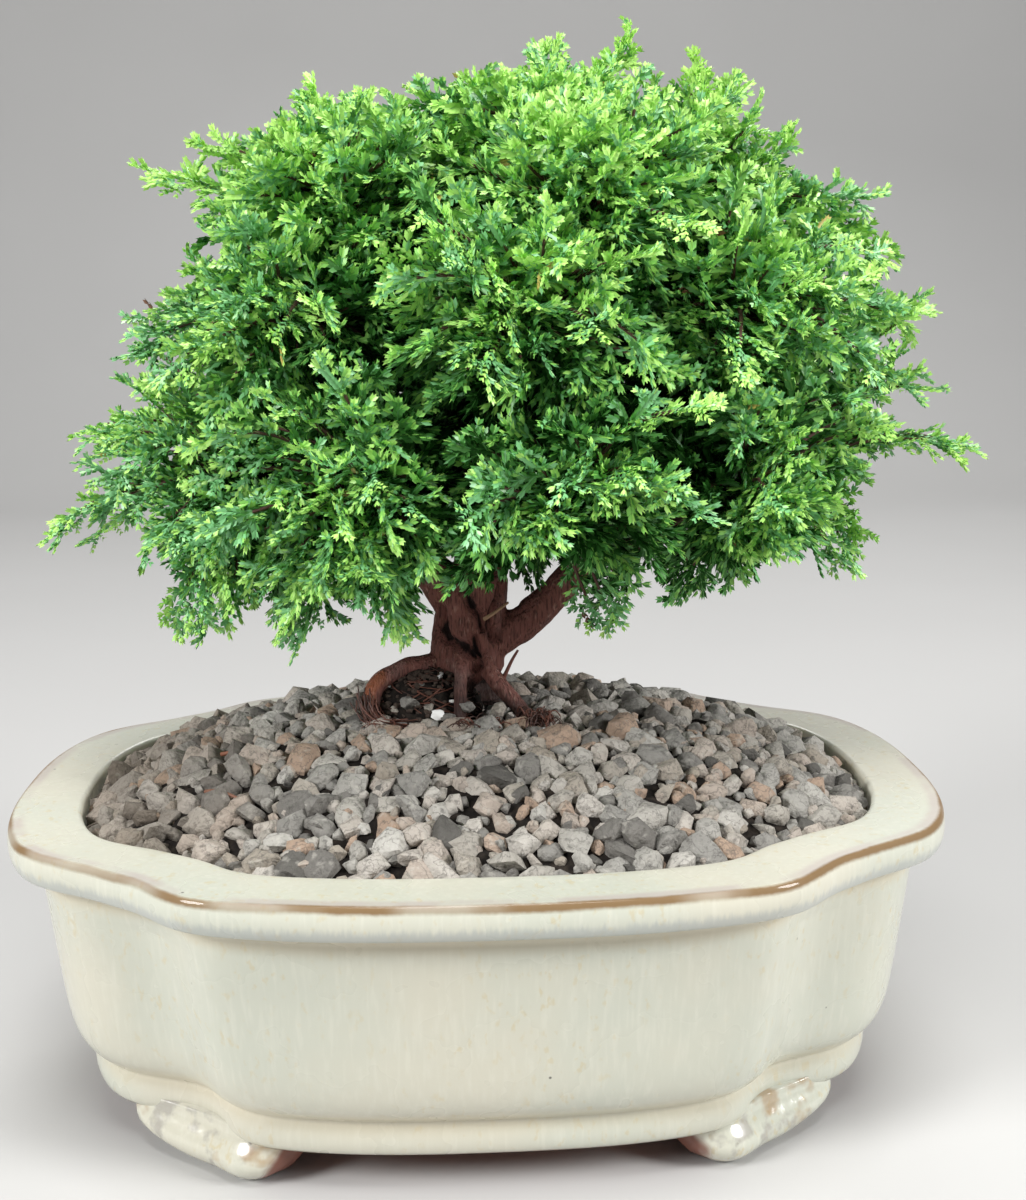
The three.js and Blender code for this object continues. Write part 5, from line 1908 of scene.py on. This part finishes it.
    def scales(self, fingers: Fingers, count: int) -> tuple[Array, Array]:
        """Clads fingers in scales.

        Args:
            fingers: Fingers that all carry the same number of scale whorls.
            count: That number.

        Returns:
            Corner points as fingers by whorls by three scales by four, and the whorls' shares.
        """
        whorl = np.arange(count)
        length = fingers.length[:, None]
        at = (whorl + self.scale_start)[None] / count * length
        reach = np.broadcast_to(length / count * self.scale_overlap, at.shape)
        taper = np.where(whorl == 0, self.first_taper, 1.0)
        taper = taper * np.where(whorl == count - 1, self.last_taper, 1.0)
        width = (fingers.width[:, None] * taper)[..., None]
        side = np.cross(fingers.axis, fingers.face)[:, None]
        face = fingers.face[:, None]

        def corner(along: float, across: float, lift: float) -> Array:
            """Returns one corner of a scale in every whorl."""
            run = at + along * reach
            sag = fingers.droop[:, None] * ((run / length) ** 2)[..., None]
            return (fingers.base[:, None] + fingers.axis[:, None] * run[..., None] + sag
                    + side * width * across + face * width * lift)

        other_side = [(along, -across, lift) for along, across, lift in self.side_scale]
        outlines = (self.side_scale, other_side[:1] + other_side[:0:-1], self.top_scale)
        points = np.stack([np.stack([corner(*one) for one in outline], 2) for outline in outlines], 2)
        return points, np.broadcast_to(((whorl + 0.5) / count)[None], at.shape)

    def build_leaves(self, fronds: Fronds) -> None:
        """Builds the leaf scales, each shade in pieces of its own."""
        fingers = self.fingers(fronds)
        rng = np.random.default_rng(self.seed + 2)
        pitch = self.scale_pitch * lerp(self.inner_pitch, 1.0, clamp(fingers.light * self.pitch_light))
        pitch = pitch * fingers.width / FINGER_WIDTH
        counts = np.clip(np.round(fingers.length / pitch), 2, self.most_scales).astype(int)
        bins: dict[int, list[Array]] = {i: [] for i in range(len(Shade))}
        for count in np.unique(counts):
            group = fingers.chosen(counts == count)
            points, shares = self.scales(group, int(count))
            dealt = self.dealing.deal(group, shares, rng)
            for i in bins:
                bins[i].append(points[dealt == i])
        pattern = np.array([[0, 1, 2], [0, 2, 3]])
        nodes = [f"foliage_{mass.name}" for mass in self.space.masses]
        most = self.most_faces // len(pattern)
        for i, shade in enumerate(Shade):
            name = shade.name.lower()
            kites = np.concatenate(bins[i])
            gloss = self.inner_gloss if shade is Shade.INNER else 0.5
            material = PlainFinish(f"leaf_{name}", shade.value, self.roughness, gloss).material()
            for part, start in enumerate(range(0, len(kites), most)):
                block = kites[start:start + most]
                triangles = (pattern + np.arange(len(block))[:, None, None] * 4).reshape(-1, 3)
                skin = block.reshape(-1, 3), triangles
                settle(mesh_piece(f"leaves_{name}_{part + 1}", skin, material), nodes)

    def build_twigs(self, fronds: Fronds) -> None:
        """Builds the twigs that carry the fronds."""
        steps = np.linspace(0, 1, self.twig_steps)
        ends = 1 - fronds.leafy * self.twig_end
        paths = np.stack([fronds.at(ends * s) for s in steps], 1)
        across = np.stack([fronds.face(fronds.along(ends * s)) for s in steps], 1)
        radii = np.broadcast_to(lerp(*self.twig_radii, steps)[None], paths.shape[:2])
        material = PlainFinish("twig_brown", self.twig_brown, 0.75).material()
        settle(mesh_piece("twigs", sweep(paths, across, radii), material))

    def build(self) -> None:
        """Builds leaves and twigs."""
        fronds = self.fronds()
        LOG.info("fronds: %d", len(fronds.tip))
        self.build_leaves(fronds)
        self.build_twigs(fronds)


@dataclass
class Litter:
    """The wet soil under the arched root, with fine roots, white bits, chips and dry stubs.

    A tuft is its place, its number of fibres, their length and their lift.
    """

    bed: GravelBed
    lump_centre: Point = (-12.0, 3.0, 80.0)
    lump_radii: Point = (13.0, 7.5, 11.5)
    lump_grain: tuple[Pair, ...] = ((2.2, 0.10), (0.8, 0.05))
    lump_tilts: Pair = (-0.3, 0.49 * math.pi)
    lump_levels: int = 26
    lump_sides: int = 60
    lump_strands: int = 70
    crumbs: int = 150
    crumb_sizes: Pair = (0.45, 1.15)
    crumb_tilts: Pair = (0.0, 1.3)
    crumb_brown: Colour = rgb(0.05, 0.033, 0.024)
    white: Colour = rgb(0.88, 0.87, 0.85)
    white_places: tuple[Spot, ...] = (
        (-19.6, 1.6, 87.6, 1.9), (-16.2, 1.0, 89.2, 1.1), (-8.6, 0.0, 90.0, 1.2), (-9.3, -4.6, 82.4, 1.9),
        (-5.9, -3.2, 85.0, 0.8), (-6.5, -6.0, 80.9, 0.9), (2.0, -7.5, 81.0, 0.9), (14.0, -12.0, 80.4, 0.8),
    )
    chip_places: tuple[Spot, ...] = (
        (-12.8, -0.6, 88.4, 1.7), (-15.0, -4.0, 85.0, 2.3), (-11.0, -3.8, 84.0, 1.5),
        (-19.0, -2.0, 83.0, 1.8), (-3.0, -4.6, 84.0, 2.2), (4.6, -5.0, 83.6, 2.4),
        (-7.0, -5.5, 82.0, 1.7), (8.0, -3.0, 84.0, 2.0),
    )
    tufts: tuple[tuple[float, float, int, float, float], ...] = (
        (-21.5, -6.0, 20, 3.4, 1.0), (13.0, -9.0, 90, 3.0, 2.8), (-3.0, -8.5, 16, 3.0, 1.4),
        (3.0, -10.5, 14, 3.0, 1.2),
    )
    bundle: Route = ((-24.6, -2.5, 85.5), (-25.5, -7.0, 80.5), (-15.5, -7.5, 79.6))
    bundle_count: int = 120
    bundle_spread: Point = (1.3, 0.9, 1.1)
    fibre_steps: int = 6
    fibre_scatter: float = 0.4
    fibre_step: float = 0.24
    fibre_swing: float = 0.6
    fibre_arch: Pair = (0.2, 2.9)
    fibre_lifts: Pair = (0.3, 1.3)
    strand_tilts: Pair = (0.1, 1.2)
    strand_turns: Pair = (0.25, 0.7)
    strand_swing: float = 0.5
    strand_off: float = 1.04
    fibre_radii: Pair = (0.1, 0.24)
    fibre_taper: float = 0.6
    fibre_colours: tuple[tuple[str, Colour], ...] = (
        ("dark", rgb(0.05, 0.019, 0.012)),
        ("red", rgb(0.125, 0.045, 0.028)),
    )
    bit_shapes: StoneShapes = field(default_factory=lambda: StoneShapes(6, 20, 8))
    bit_tones: Pair = (0.05, 0.6)
    stub_radii: Pair = (0.5, 0.28)
    stub_sides: int = 8
    stub_step: float = 0.6
    stubs: tuple[tuple[Route, Colour], ...] = (
        (((1.4, -0.9, 103.0), (3.0, -1.2, 104.0), (4.8, -1.0, 105.2), (6.9, -0.2, 106.6)),
         rgb(0.36, 0.22, 0.13)),
        (((5.5, -2.0, 89.4), (6.6, -2.4, 92.0), (7.6, -2.2, 94.0), (8.9, -2.0, 96.1)),
         rgb(0.16, 0.055, 0.04)),
        (((-56.0, -12.0, 76.6), (-53.0, -13.5, 77.4), (-50.5, -14.0, 77.0), (-48.0, -14.6, 76.2)),
         rgb(0.21, 0.08, 0.042)),
        (((-57.5, -27.0, 73.2), (-55.0, -29.0, 74.0), (-52.0, -31.0, 73.8), (-49.0, -33.0, 73.0)),
         rgb(0.17, 0.075, 0.045)),
    )
    seed: int = 17

    def on_lump(self, turn: Array, tilt: Array, swell: float = 1.0) -> Array:
        """Returns points on the lump of soil, or a little off it."""
        flat = np.stack([np.cos(turn) * np.cos(tilt), np.sin(turn) * np.cos(tilt), np.sin(tilt)], -1)
        return flat * self.lump_radii * swell + self.lump_centre

    def build_lump(self, material: Material) -> None:
        """Builds the crumbly lump of soil."""
        tilts = np.linspace(*self.lump_tilts, self.lump_levels)
        rings = self.on_lump(*np.broadcast_arrays(round_angles(self.lump_sides)[None], tilts[:, None]))
        points = rings.reshape(-1, 3)
        for size, depth in self.lump_grain:
            points += (points - self.lump_centre) * depth * lumps(points, size)[:, None]
        settle(mesh_piece("soil_lump", loft(rings), material))

    def tuft_paths(self, rng: np.random.Generator) -> list[Array]:
        """Returns the paths of the fine roots that wander over the gravel."""
        paths = []
        for x, y, count, spread, lift in self.tufts:
            for _ in range(count):
                places = [np.array([x, y]) + rng.normal(0, spread * self.fibre_scatter, 2)]
                heading = rng.uniform(0, FULL_TURN)
                for _ in range(self.fibre_steps - 1):
                    heading += rng.normal(0, self.fibre_swing)
                    step = np.array([math.cos(heading), math.sin(heading)]) * spread * self.fibre_step
                    places.append(places[-1] + step)
                flat = np.array(places)
                arch = np.sin(np.linspace(*self.fibre_arch, self.fibre_steps))
                rise = lift * arch * rng.uniform(*self.fibre_lifts)
                paths.append(np.column_stack([flat, self.bed.surface_height(flat) + 1.0 + rise]))
        return paths

    def build_fibres(self) -> None:
        """Builds the fine roots: tufts, the bundle under the arched root and strands on the lump."""
        rng = np.random.default_rng(self.seed)
        paths = self.tuft_paths(rng)
        share = np.linspace(0, 1, self.fibre_steps)[:, None]
        for _ in range(self.bundle_count):
            paths.append(curve(*(np.array(self.bundle) + rng.normal(0, self.bundle_spread, (3, 3))), share))
        for _ in range(self.lump_strands):
            turn, tilt = rng.uniform(math.pi, FULL_TURN), rng.uniform(*self.strand_tilts)
            steps = np.linspace(0, rng.uniform(*self.strand_turns), self.fibre_steps)
            turns = turn + steps * rng.choice([-1, 1])
            tilts = tilt + steps * rng.normal(0, self.strand_swing)
            paths.append(self.on_lump(turns, tilts, self.strand_off))
        lines = np.array(paths)
        across = np.broadcast_to(UP + np.array([0.1, 0.2, 0]), lines.shape)
        taper = np.linspace(1, self.fibre_taper, self.fibre_steps)[None]
        radii = rng.uniform(*self.fibre_radii, (len(lines), 1)) * taper
        for i, (name, colour) in enumerate(self.fibre_colours):
            pick = slice(i, None, len(self.fibre_colours))
            material = PlainFinish(f"fibre_{name}", colour, 0.55).material()
            skin = sweep(lines[pick], across[pick], radii[pick])
            settle(mesh_piece(f"root_fibres_{name}", skin, material))

    def crumb_places(self) -> list[Spot]:
        """Returns places and sizes of the crumbs on the lump."""
        rng = np.random.default_rng(self.seed + 3)
        turn = rng.uniform(math.pi, FULL_TURN, self.crumbs)
        tilt = rng.uniform(*self.crumb_tilts, self.crumbs)
        sizes = rng.uniform(*self.crumb_sizes, self.crumbs)
        return [(*place, size) for place, size in zip(self.on_lump(turn, tilt), sizes)]

    def build_bits(self, name: str, places: Sequence[Spot], material: Material) -> None:
        """Builds small stones at places."""
        rng = np.random.default_rng(self.seed + len(places))
        shapes = self.bit_shapes.all()
        parts = []
        for i, (x, y, z, size) in enumerate(places):
            points, triangles = shapes[i % len(shapes)]
            turn = np.array(Matrix.Rotation(rng.uniform(0, FULL_TURN), 3, "Z"))
            parts.append((points @ turn.T * size + [x, y, z], triangles))
        tone = np.repeat(rng.uniform(*self.bit_tones, len(parts)), [len(points) for points, _ in parts])
        piece = mesh_piece(name, joined(parts), material, {"tone": tone})
        piece.data.set_sharp_from_angle(angle=CREASE_ANGLE)
        settle(piece)

    def build_stubs(self) -> None:
        """Builds the dry stub on the fork, the thin red twig by the trunk and dry bits on the gravel."""
        for i, (route, colour) in enumerate(self.stubs):
            name = f"stub_{i + 1}"
            skin = Limb(route, self.stub_radii).tube(self.stub_sides, self.stub_step)
            settle(mesh_piece(name, skin, PlainFinish(name, colour, 0.7).material()))

    def build(self, soil: SoilFinish, stone: StoneFinish) -> None:
        """Builds the litter."""
        self.build_lump(soil.material())
        self.build_fibres()
        crumb = PlainFinish("crumb_brown", self.crumb_brown, 0.9).material()
        self.build_bits("soil_crumbs", self.crumb_places(), crumb)
        white = PlainFinish("soil_white", self.white, 0.9).material()
        self.build_bits("soil_white_bits", self.white_places, white)
        self.build_bits("soil_chips", self.chip_places, stone.material())
        self.build_stubs()


@dataclass(frozen=True)
class Lamp:
    """A soft round light: its place and width in metres, and its power."""

    name: str
    place: Point
    power: float
    width: float

    def build(self, aim: Point) -> None:
        """Adds the light, turned to a point."""
        data = bpy.data.lights.new(self.name, "AREA")
        data.energy = self.power
        data.shape = "DISK"
        data.size = self.width
        lamp = linked(self.name, data)
        lamp.location = self.place
        way = Vector(aim) - Vector(self.place)
        lamp.rotation_euler = way.to_track_quat("-Z", "Y").to_euler()


@dataclass
class Studio:
    """Pale floor, soft lights and the camera at the photograph's angle; the floor is in metres."""

    eye: Point = (-11.0, -330.8, 175.2)
    pitch: float = math.radians(11.62)
    pan: float = math.radians(3.28)
    roll: float = math.radians(-0.31)
    lens: float = 45.69
    sensor: float = 36.0
    nearest: float = 0.01
    floor_half_width: float = 3.0
    floor_reach: Pair = (-1.6, 0.9)
    floor_steps: int = 8
    floor_sweep: float = 0.6
    sweep_start: float = 0.1
    sweep_steps: int = 12
    floor_top: float = 2.2
    floor_greys: tuple[Colour, Colour] = (rgb(0.47, 0.465, 0.455), rgb(0.50, 0.495, 0.485))
    aim: Point = (0.0, 0.0, 0.11)
    lamps: tuple[Lamp, ...] = (
        Lamp("key", (-1.00, -0.60, 0.66), 17.0, 0.42),
        Lamp("fill", (1.05, -0.52, 0.60), 16.0, 0.42),
        Lamp("top", (0.0, -0.35, 1.20), 10.5, 0.6),
        Lamp("back", (0.20, 0.95, 0.95), 4.5, 0.6),
    )
    sky: Colour = rgb(0.80, 0.82, 0.85)
    sky_strength: float = 0.2

    def floor(self) -> None:
        """Builds a pale floor that sweeps up behind the plant."""
        front, back = self.floor_reach
        turn = np.linspace(self.sweep_start, math.pi / 2, self.sweep_steps)
        flat = np.linspace(front, back, self.floor_steps)
        run = np.concatenate([flat, back + self.floor_sweep * np.sin(turn), [back + self.floor_sweep]])
        rise = self.floor_sweep * (1 - np.cos(turn))
        lift = np.concatenate([np.zeros_like(flat), rise, [self.floor_top]])
        mesh = bpy.data.meshes.new("floor")
        sides = (-self.floor_half_width, self.floor_half_width)
        points = [(x, y, z) for y, z in zip(run, lift) for x in sides]
        faces = [(2 * i, 2 * i + 1, 2 * i + 3, 2 * i + 2) for i in range(len(run) - 1)]
        mesh.from_pydata(points, [], faces)
        mesh.shade_smooth()
        shader = Shader("floor_pale", Roughness=0.7, Specular_IOR_Level=0.2)
        shader.feed("Base Color", shader.mix(*self.floor_greys, shader.noise(6.0)))
        mesh.materials.append(shader.material)
        floor = linked("floor", mesh)

    def camera(self) -> None:
        """Adds the camera."""
        level, fall = math.cos(self.pitch), math.sin(self.pitch)
        ahead = Vector((math.sin(self.pan) * level, math.cos(self.pan) * level, -fall))
        right = Vector((math.cos(self.pan), -math.sin(self.pan), 0.0))
        above = right.cross(ahead)
        even, rise = math.cos(self.roll), math.sin(self.roll)
        right, above = right * even + above * rise, above * even - right * rise
        data = bpy.data.cameras.new("camera")
        data.sensor_width = self.sensor
        data.lens = self.lens
        data.clip_start = self.nearest
        view = linked("camera", data)
        turn = Matrix((right, above, -ahead)).transposed()
        view.matrix_world = Matrix.Translation(Vector(np.array(self.eye) * MM + ORIGIN)) @ turn.to_4x4()
        bpy.context.scene.camera = view

    def build(self) -> None:
        """Builds the stage."""
        self.floor()
        for lamp in self.lamps:
            lamp.build(self.aim)
        world = bpy.data.worlds.new("studio")
        world.use_nodes = True
        background = world.node_tree.nodes["Background"].inputs
        background["Color"].default_value = self.sky
        background["Strength"].default_value = self.sky_strength
        scene = bpy.context.scene
        scene.world = world
        scene.view_settings.view_transform = "Standard"
        self.camera()


def main() -> None:
    """Builds the stage and then the plant, from the pot up."""
    logging.basicConfig(level=logging.INFO, format="%(message)s")
    Studio().build()
    Pot().build(GlazeFinish())
    bed = GravelBed()
    bed.build(SoilFinish(), StoneFinish())
    space = CrownSpace()
    Wood().build(space, BarkFinish())
    Crown(space).build()
    Litter(bed).build(SoilFinish(), StoneFinish())


if __name__ == "__main__":
    main()
